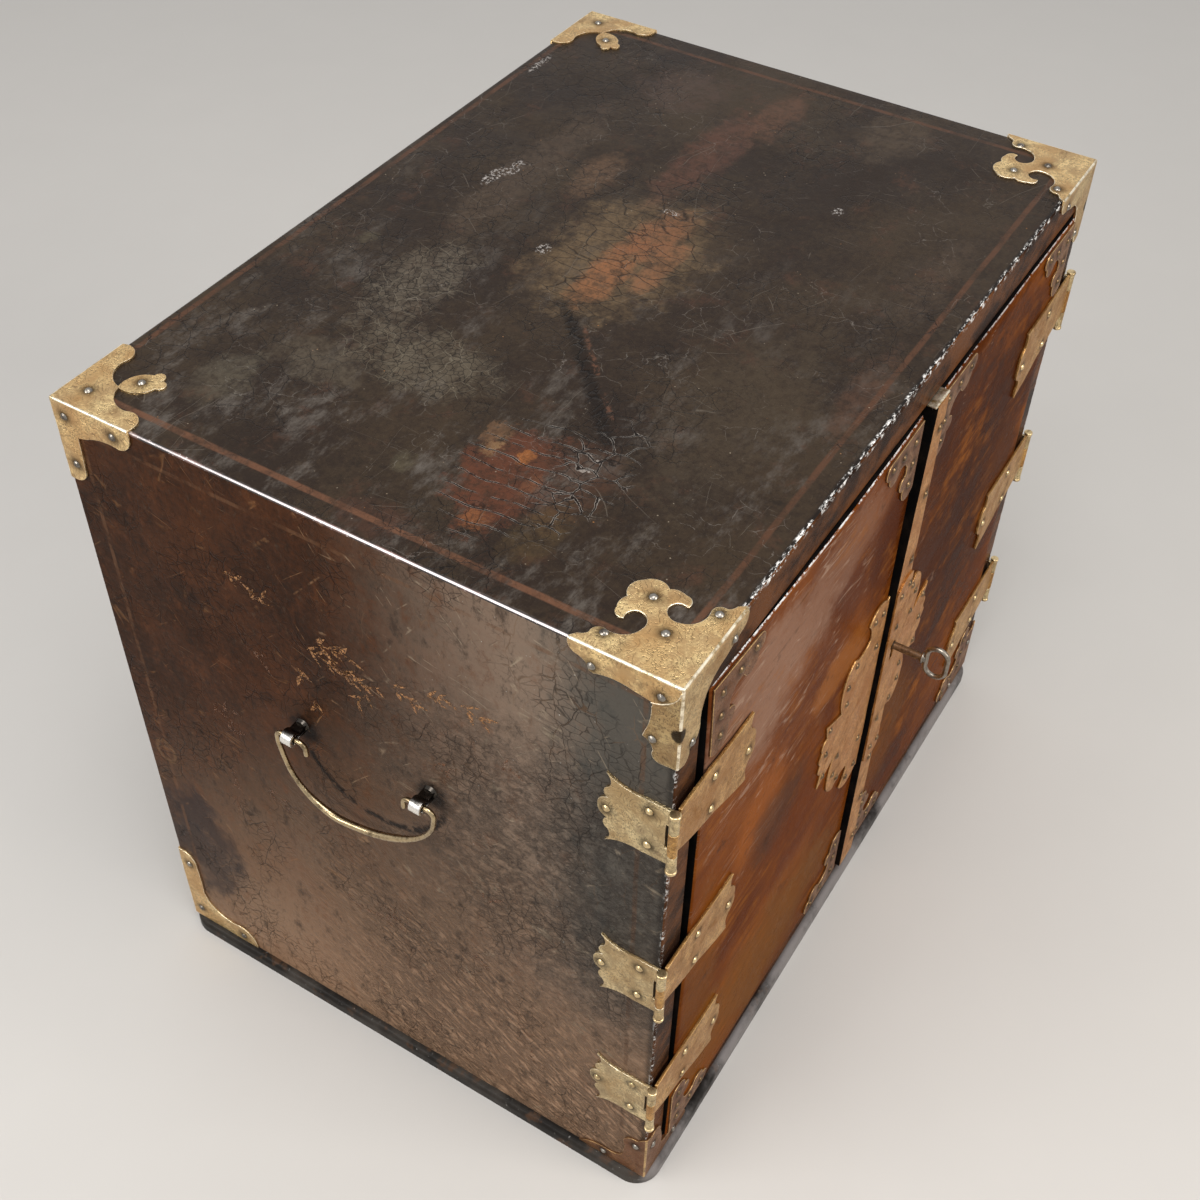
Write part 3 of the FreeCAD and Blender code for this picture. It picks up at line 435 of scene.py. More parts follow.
def sideLacquer():
    paint = Finish("sideLacquer")
    y, z = paint.y, paint.z
    ragged = (paint.cloud(16, 5, 0.65) - 0.5) * 3.2
    broad, fine = paint.cloud(70, 4, 0.6, shift=3), paint.cloud(2.6, 5, 0.7, shift=8)
    mottle = paint.cloud(12, 6, 0.75, (1, 0.8, 1.3), 19)
    colour = mix(lacquer["sideDark"], lacquer["sideWarm"], smooth(broad + (fine - 0.5) * 0.6, 0.3, 0.68))
    # painted sheen: the side is painted lighter towards the low front and greyer towards the upper front, where it
    # catches more light
    low = smooth(z + y * 0.7 + (broad - 0.5) * 90, 270, -30)
    colour = mix(colour, lacquer["sideLow"], low * 0.75)
    frontSheen = smooth(y + (mottle - 0.5) * 60, 20, -90) * smooth(z + (broad - 0.5) * 120, 70, 230)
    colour = mix(colour, lacquer["sideFrontSheen"], frontSheen * 0.7)
    smoke = paint.cloud(4.4, 6, 0.78, (1, 0.8, 1.2), 39)
    colour = stained(colour, ((0.12, 0.04, 0.013), mottle, 0.52, 0.7, 0.4),
                     ((0.016, 0.009, 0.006), mottle, 0.48, 0.3, 0.7),
                     ((0.105, 0.082, 0.058), smoke, 0.56, 0.74, 0.35),
                     ((0.014, 0.0095, 0.0075), smoke, 0.46, 0.3, 0.45))
    slate = smooth(y + (mottle - 0.5) * 40, -66, -104) * smooth(z + (broad - 0.5) * 90, 100, 180)
    colour = mix(colour, (0.052, 0.055, 0.05), slate * 0.8)
    corner = smooth(ellipse(y, z, 112, 78, 26, 44) + ragged, 1.2, 0.2)
    colour = mix(colour, (0.012, 0.01, 0.013), corner * 0.7)
    wobble = (paint.cloud(40, 2, shift=5) - 0.5) * 1.4
    worn = paint.patch(0.4, 0.58, 14, 5, 0.7, shift=11)
    line = frameLine(y, z, (-115.5, 117.5, 18, 314.5), 1.7, wobble)
    colour = mix(colour, (0.125, 0.06, 0.03), line * (worn * 0.5 + 0.05))
    ring = paint.node("Math", {"operation": "SQRT"}, (ellipse(y, z, 118, 137, 5.5, 7.5),))
    ring = fade(abs(ring + wobble * 0.1 - 0.9), 0.05, 0.28)
    colour = mix(colour, (0.14, 0.075, 0.035), ring * 0.5)

    # dark marks where the handle hangs, rubbed wear together with a painted shadow of the bail, and painted shade
    # round its eyes
    drop = paint.node("Math", {"operation": "SQRT"}, (ellipse(y, z, -1, 205, 1.06, 1),))
    rub = fade(abs(drop - 31 + (fine - 0.5) * 5 + ragged * 0.5), 0.3, 2.6)
    rub = rub * smooth(z, 205, 194) * paint.patch(0.38, 0.48, 6, 4, 0.7, shift=9)
    eyes = (abs(y - 1.4) - 30) ** 2 + (z - 207) ** 2
    halo = fade(eyes + ragged * 12 + (fine - 0.5) * 60, 10, 80)
    colour = mix(colour, (0.0025, 0.002, 0.002), most(rub * 0.9, halo * 0.85))

    # crazing, long cracks and shrunken, wrinkled lacquer towards the front
    bent = paint.bent(12, 1.8)
    crazed = lines(paint.cells(4.2, (1, 1.4, 0.9), place=bent), 0.24)
    long = lines(paint.cells(15, (1, 0.8, 1.9), place=paint.bent(12, 3, 4), shift=2), 0.26)
    where = paint.patch(0.44, 0.6, 44, 4, 0.6, shift=21)
    colour = mix(colour, (0.0045, 0.003, 0.0025), most(crazed * where * 0.6, long * where * 0.7))
    tan = long * smooth(y, 40, -50) * paint.patch(0.48, 0.58, 12, 3, shift=33)
    colour = mix(colour, (0.155, 0.09, 0.05), tan * 0.45)
    gouges = ((8, -12, 0.016, 0), (11, 44, 0.013, 1), (13, -58, 0.011, 2))
    gouged = most(*[paint.scored(size, (1, 9, 1), angle, width, 7 * number)
                    * paint.patch(0.54, 0.64, 15, 4, 0.65, shift=64 + 9 * number)
                    for size, angle, width, number in gouges])
    pale = mix((0.36, 0.175, 0.07), (0.34, 0.27, 0.19), smooth(y + (mottle - 0.5) * 60, 40, -30))
    colour = mix(colour, pale, gouged * (smooth(y, 60, -10) * 0.32 + 0.2))
    speck = smooth(paint.cells(2.6, feature="F1", shift=17), 0.34, 0.12)
    speck = speck * paint.patch(0.55, 0.62, 9, 4, 0.65, shift=44) * smooth(y, 0, -70)
    colour = mix(colour, (0.55, 0.53, 0.48), speck * 0.8)
    grit = paint.patch(0.5, 0.6, 1.5, 4, 0.75, (1, 1, 2.4), 3)
    stile = smooth(y, -125.9, -127) * paint.patch(0.42, 0.54, 16, 4, shift=2)
    colour = mix(colour, (0.006, 0.005, 0.005), smooth(y, -123.5, -126) * 0.6)
    colour = mix(colour, lacquer["chipPale"], grit * stile * 0.85)

    creased = smooth(y + (broad - 0.5) * 90 + ragged * 10, 30, -70)
    creased = creased * smooth(z + ragged * 14, 300, 235)
    fold = abs(paint.cloud(7, 5, 0.62, (1, 1.3, 0.9), 12, paint.bent(9, 3, 27)) - 0.5) * 7
    crinkle = abs(paint.cloud(3.2, 4, 0.6, (1, 1.2, 0.9), 62) - 0.5) * 6
    below = smooth(z - y * 0.35 + (broad - 0.5) * 60, 190, 90) * smooth(y + ragged * 8, 70, -20)
    grainy = abs(paint.cloud(4.2, 4, 0.6, (1, 2.8, 0.9), 34, paint.turned("X", -36)) - 0.5) * 7
    folded, crinkled, ribbed = [part.sum("MINIMUM", part, 1) for part in (fold, crinkle, grainy)]
    folded = folded * 0.6 + crinkled * 0.4
    # painted shade in the valleys of the folds and ribs, and painted highlights on their ridges
    colour = mix(colour, (0.018, 0.013, 0.011), (1 - folded) * creased * (1 - below) * 0.75)
    colour = mix(colour, (0.022, 0.016, 0.014), (1 - ribbed) * below * 0.55)
    colour = mix(colour, (0.33, 0.27, 0.215), smooth(grainy, 0.9, 2.6) * below * 0.42)
    colour = mix(colour, (0.26, 0.205, 0.16), smooth(fold + crinkle, 2, 4) * creased * 0.45)
    height = paint.cloud(30, 3, 0.5, shift=1) * 0.5 + fine * 0.06 + mottle * 0.12 + smoke * 0.06
    height = height + folded * creased * (1 - below) * 0.45 + ribbed * below * 0.7 - gouged * 0.06
    height = height - crazed * where * 0.08 - long * where * 0.14 - grit * stile * 0.2
    rough = paint.patch(0.3, 0.75, 34, 4, 0.65, shift=15) * 0.16 + 0.25
    return paint.shader(Base_Color=colour, Roughness=rough + crazed * where * 0.1,
                        Normal=paint.bump(height, 1.1), IOR=1.11)


# worn and faded places on the doors, and painted sheen: middle x, z, then as for the top
doorPatchesAndSheen = (
    # the first two, pale pinkish grey on the upper left door, are painted sheen
    (-118, 266, 50, 34, (0.25, 0.14, 0.092), 0.95, 0.9),
    (-60, 285, 44, 18, (0.2, 0.095, 0.055), 0.9, 0.8),
    (-42, 210, 26, 14, (0.27, 0.088, 0.014), 0.9, 0.8),
    (-106, 188, 23, 28, (0.26, 0.074, 0.01), 0.9, 0.85),
    (-88, 165, 24, 24, (0.06, 0.023, 0.011), 0.9, 0.8),
    (-8, 250, 20, 42, (0.055, 0.011, 0.0015), 0.9, 0.9),
    (-66, 132, 30, 26, (0.095, 0.02, 0.0025), 0.9, 0.7),
    (-90, 58, 80, 40, (0.155, 0.058, 0.0065), 0.9, 0.75),
    (-146, 120, 16, 66, (0.15, 0.052, 0.0075), 0.9, 0.6),
    (60, 170, 56, 150, (0.032, 0.006, 0.0004), 0.9, 0.95),
    (40, 90, 30, 40, (0.15, 0.048, 0.005), 0.9, 0.6),
    (120, 200, 50, 110, (0.026, 0.005, 0.0004), 0.9, 0.85),
)


def doorLacquer():
    paint = Finish("doorLacquer")
    x, z = paint.x, paint.z
    ragged = paint.cloud(22, 6, 0.72, (1.3, 1, 1), 2)
    broad, fine = paint.cloud(60, 3, 0.55, (1.4, 1, 1), 6), paint.cloud(3, 5, 0.72, shift=4)
    streak = paint.cloud(6, 6, 0.72, (7, 1, 0.5), 8)
    colour = mix((0.085, 0.019, 0.0026), (0.165, 0.043, 0.0042),
                 smooth(broad + (streak - 0.5) * 0.5, 0.34, 0.66))
    colour = blotched(colour, x, z, doorPatchesAndSheen, (ragged - 0.5) * 3.4, streak * 0.6 + 0.55)
    warm = smooth(ragged + (streak - 0.5) * 0.9, 0.52, 0.74)
    colour = mix(colour, (0.3, 0.105, 0.018), warm * 0.45)
    colour = mix(colour, (0.03, 0.008, 0.0028), smooth(streak + (fine - 0.5) * 0.3, 0.54, 0.7) * 0.55)
    colour = mix(colour, (0.012, 0.0045, 0.002), paint.patch(0.6, 0.72, 13, 6, 0.75, shift=19) * 0.55)
    faded = fade(ellipse(x, z, -105, 255, 80, 100), 0.3, 1.3)
    scratch = most(paint.scored(4.5, (12, 1, 1), 3, 0.016, 9), paint.scored(6, (12, 1, 1), -6, 0.014, 31))
    scratch = scratch * smooth(paint.cloud(15, 4, shift=12) + faded * 0.1, 0.56, 0.68)
    colour = mix(colour, (0.36, 0.24, 0.17), scratch * (faded * 0.3 + 0.22))
    pits = smooth(paint.cells(3, (2.6, 1, 0.5), feature="F1", shift=3), 0.5, 0.2)
    where = most(paint.patch(0.61, 0.68, 20, 3, shift=27),
                 smooth(ellipse(x, z, -102, 228, 16, 26) + (ragged - 0.5) * 4, 1, 0.3))
    colour = mix(colour, (0.46, 0.32, 0.24), pits * where * 0.6)
    # a painted highlight: a thin white line, broken into dashes, along the top front edge of the doors
    falls = z + x * 0.0092 - 305.6
    rim = smooth(abs(x + 80), 84, 78) * smooth(falls, 0.12, 0.42)
    rim = most(rim, smooth(z, 306.15, 306.45) * smooth(x, 4, 8))
    rim = rim * paint.patch(0.44, 0.54, 1.6, 4, 0.75, (1.5, 1, 1), 1)
    rim = rim * (1 - smooth(x, -60, 10) * 0.5)
    colour = mix(colour, (0.7, 0.69, 0.68), rim)
    height = paint.cloud(30, 3, 0.5, shift=1) * 0.5 + fine * 0.05 + streak * 0.14
    height = height - scratch * 0.07 - pits * where * 0.18
    rough = smooth(ragged, 0.3, 0.75) * 0.16 + 0.22 + pits * where * 0.2
    hazy = fade(ellipse(x, z, -110, 270, 90, 90), 0.2, 1.2)
    return paint.shader(Base_Color=colour, Roughness=rough, Normal=paint.bump(height, 1), IOR=1.03,
                        Coat_Weight=hazy * 0.07 + 0.01, Coat_Roughness=0.2)


def edgeLacquer():
    # the front edges of the case: black over red-brown, chipped along the arris
    paint = Finish("edgeLacquer")
    x, z = paint.x, paint.z
    broad, fine = paint.cloud(26, 6, 0.7, (1.8, 1, 1)), paint.cloud(2.2, 5, 0.7, shift=7)
    colour = mix((0.02, 0.01, 0.0065), (0.112, 0.042, 0.015), smooth(broad, 0.38, 0.62))
    atTop = smooth(z, 323.4, 325)
    atStile = smooth(abs(x), 178, 179.4) * smooth(z, 322, 300)
    grit = paint.patch(0.5, 0.62, 1.7, 4, 0.75, (2.2, 1, 1), 3)
    chip = grit * most(atTop, atStile * 0.75)
    chip = chip * paint.patch(0.42, 0.5, 9, 5, 0.7, shift=2)
    colour = mix(colour, (0.8, 0.78, 0.75), chip * 0.95)
    height = broad * 0.4 + fine * 0.1 - chip * 0.25
    return paint.shader(Base_Color=colour, Roughness=fine * 0.2 + 0.16 + chip * 0.2,
                        Normal=paint.bump(height, 0.9), IOR=1.05)


def baseLacquer():
    paint = Finish("baseLacquer")
    broad, fine = paint.cloud(36, 5, 0.65), paint.cloud(2.6, 4, 0.65, shift=5)
    colour = mix((0.014, 0.012, 0.0105), (0.052, 0.044, 0.037), smooth(broad, 0.4, 0.66))
    rub = paint.patch(0.56, 0.66, 11, 4, 0.65, shift=12)
    colour = mix(colour, (0.085, 0.044, 0.024), rub * 0.6)
    colour = mix(colour, (0.35, 0.34, 0.32), smooth(fine, 0.66, 0.74) * 0.5)
    # painted reflection: the front of the base is painted pale grey where its edge reflects the light
    front = smooth(paint.y + (broad - 0.5) * 2, -125, -129)
    colour = mix(colour, (0.215, 0.195, 0.19), front * smooth(broad, 0.3, 0.55) * 0.85)
    return paint.shader(Base_Color=colour, Roughness=fine * 0.2 + 0.28,
                        Normal=paint.bump(broad * 0.6 + fine * 0.08, 0.9), IOR=1.16)


def rimLacquer():
    # the rounded arris of the top, glossy, with a painted highlight along it
    paint = Finish("rimLacquer")
    broad, fine = paint.cloud(14, 5, 0.7), paint.cloud(1.6, 4, 0.7, shift=5)
    colour = mix((0.016, 0.0125, 0.011), (0.115, 0.06, 0.048), smooth(broad, 0.46, 0.66))
    colour = mix(colour, (0.62, 0.56, 0.54), smooth(fine, 0.56, 0.66) * smooth(broad, 0.48, 0.6) * 0.7)
    # painted highlight: a pale pinkish line along the middle of the arris, stronger towards the front
    arris = fade(abs(paint.z - abs(paint.x) - 146), 0.15, 0.75)
    arris = arris * smooth(abs(paint.x), 177.5, 178.5) * (smooth(paint.y, 115, -20) * 0.65 + 0.35)
    arris = arris * (smooth(broad + fine * 0.3, 0.42, 0.58) * 0.7 + 0.3)
    colour = mix(colour, (0.92, 0.82, 0.82), arris)
    return paint.shader(Base_Color=colour, Roughness=fine * 0.16 + 0.12,
                        Normal=paint.bump(broad * 0.3 + fine * 0.06, 0.5), IOR=1.6)


def recessPaintedShade():
    # painted shade: near black on the edges that look into the gaps round the doors
    paint = Finish("recessPaintedShade")
    patchy = paint.cloud(14, 5, 0.65)
    colour = mix((0.0035, 0.003, 0.003), (0.012, 0.008, 0.006), smooth(patchy, 0.45, 0.7))
    return paint.shader(Base_Color=colour, Roughness=patchy * 0.2 + 0.6, Normal=paint.bump(patchy, 0.5), IOR=1.1)


def plainWood(name, light, dark, along):
    # along is the stretch that lays the grain: long in one axis
    paint = Finish(name)
    grain = paint.cloud(2.4, 5, 0.6, along, 2, distortion=0.4)
    rings = paint.cloud(11, 2, 0.5, along, 5)
    colour = mix(light, dark, smooth(grain * 0.5 + rings * 0.5, 0.38, 0.62))
    grime = paint.patch(0.45, 0.7, 60, 4, 0.6, shift=9)
    colour = mix(colour, tuple(part * 0.45 for part in dark), grime * 0.55)
    return paint.shader(Base_Color=colour, Roughness=grain * 0.2 + 0.5, Normal=paint.bump(grain, 0.25))


brassLook = {
    "gold": (0.92, 0.68, 0.335),
    "dull": (0.52, 0.35, 0.175),
    "tarnish": (0.15, 0.092, 0.046),
    # the rim colour is bright from wear and, in part, a painted highlight
    "bright": (1, 0.9, 0.7),
}


def agedBrass(name, gold, dull, tarnish, roughness=0.34, metal=1):
    # nailShade is stored on the sheet's points: dark round the nails
    paint = Finish(name)
    shade = paint.node("Attribute", {"attribute_type": "GEOMETRY", "attribute_name": "nailShade"}, output="Fac")
    patchy, fine = paint.cloud(11, 6, 0.72), paint.cloud(1.1, 5, 0.7, shift=5)
    # engraved scrolls: rings round scattered centres, bent out of true
    scroll = paint.cells(8, place=paint.bent(6, 2.4, 2), feature="F1", shift=1)
    rings = paint.node("Math", {"operation": "SINE"}, (scroll * 2.9,))
    cut = smooth(abs(rings), 0.34, 0.06) * paint.patch(0.36, 0.48, 8, 2, shift=14)
    punch = paint.cells(1.25, feature="F1", shift=6)
    punched = smooth(abs(punch - 0.4), 0.17, 0.05) * smooth(patchy, 0.56, 0.44)
    colour = mix(gold, dull, smooth(patchy + (fine - 0.5) * 0.35, 0.4, 0.6))
    blot = paint.patch(0.52, 0.66, 9, 6, 0.72, shift=9)
    colour = mix(colour, tarnish, blot * 0.5)
    tone = paint.patch(0.42, 0.62, 24, 3, 0.6, shift=29)
    colour = mix(colour, tuple(part * scale for part, scale in zip(dull, (1.1, 0.95, 0.75))), tone * 0.55)
    colour = mix(colour, tarnish, most(cut * 0.5, punched * 0.6))
    colour = mix(colour, tuple(part * 0.16 for part in tarnish), shade)
    height = patchy * 0.45 + fine * 0.08 - cut * 0.16 - punched * 0.12
    rough = smooth(patchy, 0.3, 0.7) * 0.16 + roughness + shade * 0.2 + blot * 0.12
    return paint.shader(Base_Color=colour, Metallic=metal, Roughness=rough, Normal=paint.bump(height, 0.8))


def wornMetal(name, light, dark, roughness, grainSize=1.6):
    paint = Finish(name)
    patchy, fine = paint.cloud(5, 4, 0.65), paint.cloud(grainSize, 4, 0.65, shift=5)
    colour = mix(light, dark, smooth(patchy * 0.6 + fine * 0.4, 0.44, 0.66))
    return paint.shader(Base_Color=colour, Metallic=1, Roughness=fine * 0.2 + roughness,
                        Normal=paint.bump(fine * 0.5 + patchy * 0.5, 0.12))


def eyeMetalPaintedShade():
    # bright metal where it faces out and down, with painted shade, near black, behind and on top
    paint = Finish("eyeMetalPaintedShade")
    out = (abs(paint.x) - 180) * 0.8 - (paint.z - 209) * 0.9
    fine = paint.cloud(0.8, 4, 0.65)
    colour = mix((0.062, 0.054, 0.046), (0.82, 0.79, 0.74), smooth(out + (fine - 0.5) * 2, 3.4, 6.6))
    return paint.shader(Base_Color=colour, Metallic=1, Roughness=fine * 0.16 + 0.2, Normal=paint.bump(fine, 0.06))


def goldLeaf(name, colour, deep, cover):
    # what is left of the gold: thin, broken and see-through
    paint = Finish(name)
    flakes = paint.cloud(2.4, 5, 0.75, shift=4) + (paint.cloud(0.6, 3, shift=2) - 0.5) * 0.6
    left = smooth(flakes, 0.98 - cover, 1.14 - cover)
    fine = paint.cloud(0.9, 4, 0.7)
    shaded = mix(colour, deep, smooth(fine, 0.4, 0.6))
    return paint.shader(Base_Color=shaded, Metallic=0.2, Roughness=0.5, Alpha=left)


finishes = {
    "topLacquer": topLacquer(),
    "sideLacquer": sideLacquer(),
    "doorLacquer": doorLacquer(),
    "edgeLacquer": edgeLacquer(),
    "baseLacquer": baseLacquer(),
    "rimLacquer": rimLacquer(),
    "recessPaintedShade": recessPaintedShade(),
    "inside": plainWood("insideWood", (0.16, 0.085, 0.042), (0.075, 0.038, 0.02), (1, 1, 14)),
    "drawerWood": plainWood("drawerWood", (0.4, 0.26, 0.13), (0.25, 0.145, 0.068), (1, 14, 1)),
    "backWood": plainWood("backWood", (0.1, 0.055, 0.032), (0.04, 0.024, 0.016), (1, 1, 16)),
    "brass": agedBrass("agedBrass", brassLook["gold"], brassLook["dull"], brassLook["tarnish"]),
    "oliveBrass": agedBrass("oliveBrass", (0.74, 0.59, 0.33), (0.42, 0.315, 0.175), (0.14, 0.1, 0.06)),
    "plateBrass": agedBrass("plateBrass", (0.62, 0.36, 0.125), (0.34, 0.18, 0.062), (0.1, 0.046, 0.018), 0.38),
    "dimBrass": agedBrass("dimBrass", (0.58, 0.275, 0.076), (0.34, 0.15, 0.042), (0.11, 0.046, 0.018), 0.4, 0.85),
    "cornerBrass": agedBrass("cornerBrass", (0.27, 0.13, 0.052), (0.14, 0.06, 0.026), (0.05, 0.022, 0.01), 0.42, 0.7),
    # the rims and folds: brightened by wear and by a painted highlight
    "brassRimWearAndHighlight": wornMetal("brassRimWearAndHighlight", brassLook["bright"], (0.36, 0.25, 0.11), 0.24),
    "dimRim": wornMetal("dimRim", (0.58, 0.38, 0.17), (0.2, 0.115, 0.05), 0.3),
    "nailSteel": wornMetal("nailSteel", (0.3, 0.275, 0.24), (0.075, 0.06, 0.048), 0.22),
    "nailBrass": wornMetal("nailBrass", (0.72, 0.55, 0.3), (0.3, 0.205, 0.1), 0.2),
    "nailDark": wornMetal("nailDark", (0.2, 0.13, 0.07), (0.05, 0.032, 0.02), 0.28),
    "handleMetal": wornMetal("handleMetal", (0.46, 0.355, 0.21), (0.16, 0.115, 0.066), 0.16),
    "eyeMetalPaintedShade": eyeMetalPaintedShade(),
    "keySteel": wornMetal("keySteel", (0.3, 0.265, 0.22), (0.12, 0.098, 0.078), 0.26),
    "lockIron": wornMetal("lockIron", (0.16, 0.14, 0.12), (0.06, 0.05, 0.045), 0.42),
    "goldLeaf": goldLeaf("goldLeaf", (0.47, 0.225, 0.075), (0.16, 0.062, 0.022), 0.55),
    "fadedLeaf": goldLeaf("fadedLeaf", (0.2, 0.082, 0.036), (0.1, 0.04, 0.018), 0.5),
}
print("finishes made:", len(finishes))


# ---- making pieces

def shapeOf(node):  # a copy of the node's shape, with flat faces joined up
    made = bmesh.new()
    made.from_mesh(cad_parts[node].data)
    bmesh.ops.remove_doubles(made, verts=made.verts, dist=2e-6)
    bmesh.ops.dissolve_limit(made, angle_limit=math.radians(1), verts=made.verts, edges=made.edges)
    return made


def roundEdges(made, edges, width, segments, rim, held=True):
    result = bmesh.ops.bevel(made, geom=edges, offset=width * mm, offset_type="OFFSET", segments=segments,
                             profile=0.5, affect="EDGES", clamp_overlap=held, material=-1)
    if rim is not None:
        for face in result["faces"]:
            face.material_index = rim


def soften(made, width, angle=28, segments=2, rim=None):
    # rounds off every sharp edge; rim is the material number for what that adds
    sharp = [edge for edge in made.edges if len(edge.link_faces) == 2
             and edge.calc_face_angle(0) > math.radians(angle)]
    roundEdges(made, sharp, width, segments, rim)


def cutAt(made, axis, places, unit=mm):  # cuts the shape across at these places along one axis
    normal = Vector([int(letter == axis) for letter in "xyz"])
    for place in places:
        bmesh.ops.bisect_plane(made, geom=made.verts[:] + made.edges[:] + made.faces[:], dist=1e-6,
                               plane_co=normal * place * unit, plane_no=normal)


def gridCut(made, step, axes="xyz"):
    # cuts the shape into squares, so that its surface can be moved about
    for axis in axes:
        spread = [vert.co["xyz".index(axis)] for vert in made.verts]
        low, high = min(spread), max(spread)
        cutAt(made, axis, [low + number * step * mm - step * mm * 0.37
                           for number in range(1, int((high - low) / (step * mm)) + 1)], 1)


def wavy(made, size, amount, seed=0):  # the hand-made unevenness of a sheet or board
    for vert in made.verts:
        here = vert.co / (size * mm) + Vector((seed, seed, seed))
        vert.co += vert.normal * (noise.noise(here) * amount * mm)


def addPiece(name, made, body, materials, replaces=(), crease=35):
    mesh = bpy.data.meshes.new(name)
    for face in made.faces:
        face.smooth = True
    made.to_mesh(mesh)
    made.free()
    mesh.set_sharp_from_angle(angle=math.radians(crease))
    for material in materials:
        mesh.materials.append(finishes[material])
    piece = bpy.data.objects.new(name, mesh)
    bpy.context.scene.collection.objects.link(piece)
    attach(piece, body)
    if replaces:
        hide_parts(*replaces)
    return piece


def softPiece(name, node, body, finish, width, angle=40, segments=2):
    made = shapeOf(node)
    soften(made, width, angle, segments)
    addPiece(name, made, body, (finish,), (node,))


def paintNode(node, finish):
    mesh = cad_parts[node].data
    mesh.materials.clear()
    mesh.materials.append(finishes[finish])


# the left door is warped: its upper corner by the hinges leans in and the middle of its top stands out
doorBow = {"left": -160, "right": 2.4, "top": 307.8, "reach": 110, "corner": -1.7, "middle": 0.75, "meeting": -0.5}


def bowed(place):
    across = (place.x / mm - doorBow["left"]) / (doorBow["right"] - doorBow["left"])
    across = min(max(across, 0), 1)
    out = doorBow["middle"] * math.sin(math.pi * across) + doorBow["meeting"] * across ** 2
    out += doorBow["corner"] * (1 - across) ** 2
    down = min(max(1 - (doorBow["top"] - place.z / mm) / doorBow["reach"], 0), 1)
    return -out * down * down * mm


def bowPiece(made, kept=None):
    for vert in made.verts:
        if kept is None or not kept(vert.co):
            vert.co.y += bowed(vert.co)


# ---- boards

boards = {"chipDepth": 0.55, "edgeReach": 2.6, "recess": -112}


def chipEdges(made, edges, depth, reach, seed):
    # each edge is a test that gives how near a point is to it, in millimetres
    for vert in made.verts:
        for far, inward in edges:
            near = 1 - far(vert.co / mm) / reach
            if near <= 0:
                continue
            rough = noise.noise(vert.co / (5 * mm) + Vector((seed, 0, 0)))
            fine = noise.noise(vert.co / (1.7 * mm) + Vector((0, seed, 0)))
            vert.co += Vector(inward) * (max(0, rough * 0.9 + fine * 0.6) * near * depth * mm)


def paintByFace(made, tests, other):
    for face in made.faces:
        face.material_index = next((number for test, number in tests if test(face)), other)


def frontward(face):
    return face.normal.y < -0.7


def outside(face):
    return face.normal.x * face.calc_center_median().x > 0 and abs(face.normal.x) > 0.7


def inRecess(face):
    return face.calc_center_median().y < boards["recess"] * mm


def makeBoards():
    top = shapeOf("top_board")
    cutAt(top, "x", [-180 + 1.2 * number for number in range(1, 300)])
    cutAt(top, "y", (-126.8, -126.2, -125.2, boards["recess"], -60, 0, 60, 124))
    cutAt(top, "z", (309.2, 311.5, 316, 321.5, 323.4, 324.6))
    frontEdge = (lambda co: math.hypot(co.y + 127.5, co.z - 326), (0, 0.7, -0.7))
    leftEdge = (lambda co: math.hypot(abs(co.x) - 180, co.z - 326) + 1.2, (0, 0, -0.8))
    chipEdges(top, (frontEdge, leftEdge), boards["chipDepth"], boards["edgeReach"], 3)
    rounded = (lambda face: 0.15 < face.normal.z < 0.97 and face.normal.y > -0.3)
    # faces in the recess behind the doors get the painted shade of the gaps
    paintByFace(top, ((rounded, 5), (frontward, 1), (outside, 2), (lambda face: face.normal.z > -0.5, 0),
                      (inRecess, 4)), 3)
    addPiece("topBoard", top, "case",
             ("topLacquer", "edgeLacquer", "sideLacquer", "inside", "recessPaintedShade", "rimLacquer"),
             ("top_board",))

    for side, sign in (("left", -1), ("right", 1)):
        board = shapeOf(side + "_side_board")
        cutAt(board, "z", [7 + 1.5 * number for number in range(1, 201)])
        cutAt(board, "y", (-126.8, -126, -124.5, boards["recess"], -60, 0, 60))
        cutAt(board, "x", (sign * 179.2, sign * 178.2, sign * 176.5))
        stile = (lambda co: math.hypot(co.y + 127.5, abs(co.x) - 180), (-sign * 0.6, 0.6, 0))
        chipEdges(board, (stile,), 0.4, 2.2, 5 + sign)
        # faces in the recess behind the doors get the painted shade of the gaps
        paintByFace(board, ((frontward, 1), (outside, 0), (inRecess, 3)), 2)
        addPiece(side + "SideBoard", board, "case",
                 ("sideLacquer", "edgeLacquer", "inside", "recessPaintedShade"), (side + "_side_board",))

    bottom = shapeOf("bottom_board")
    cutAt(bottom, "y", (boards["recess"],))
    soften(bottom, 0.5)
    # faces in the recess behind the doors get the painted shade of the gaps
    paintByFace(bottom, ((frontward, 0), (inRecess, 2)), 1)
    addPiece("bottomRail", bottom, "case", ("edgeLacquer", "inside", "recessPaintedShade"),
             ("bottom_board",))

    base = shapeOf("base_board")
    cutAt(base, "x", [-180 + 4 * number for number in range(0, 91)])
    cutAt(base, "y", [-128 + 4 * number for number in range(0, 65)])
    for vert in base.verts:
        if vert.co.z > mm:
            dent = noise.noise(vert.co / (14 * mm)) * 0.22 + noise.noise(vert.co / (4 * mm)) * 0.12
            vert.co += Vector((-vert.co.x, -vert.co.y, 0)).normalized() * (max(0, dent) * mm * 1.6)
    addPiece("baseBoard", base, "case", ("baseLacquer",), ("base_board",))

    paintNode("back_board", "backWood")
    for node in ("centre_partition", "drawer_guides", "shelf_boards"):
        paintNode(node, "inside")


# ---- lines and leaves laid on a surface

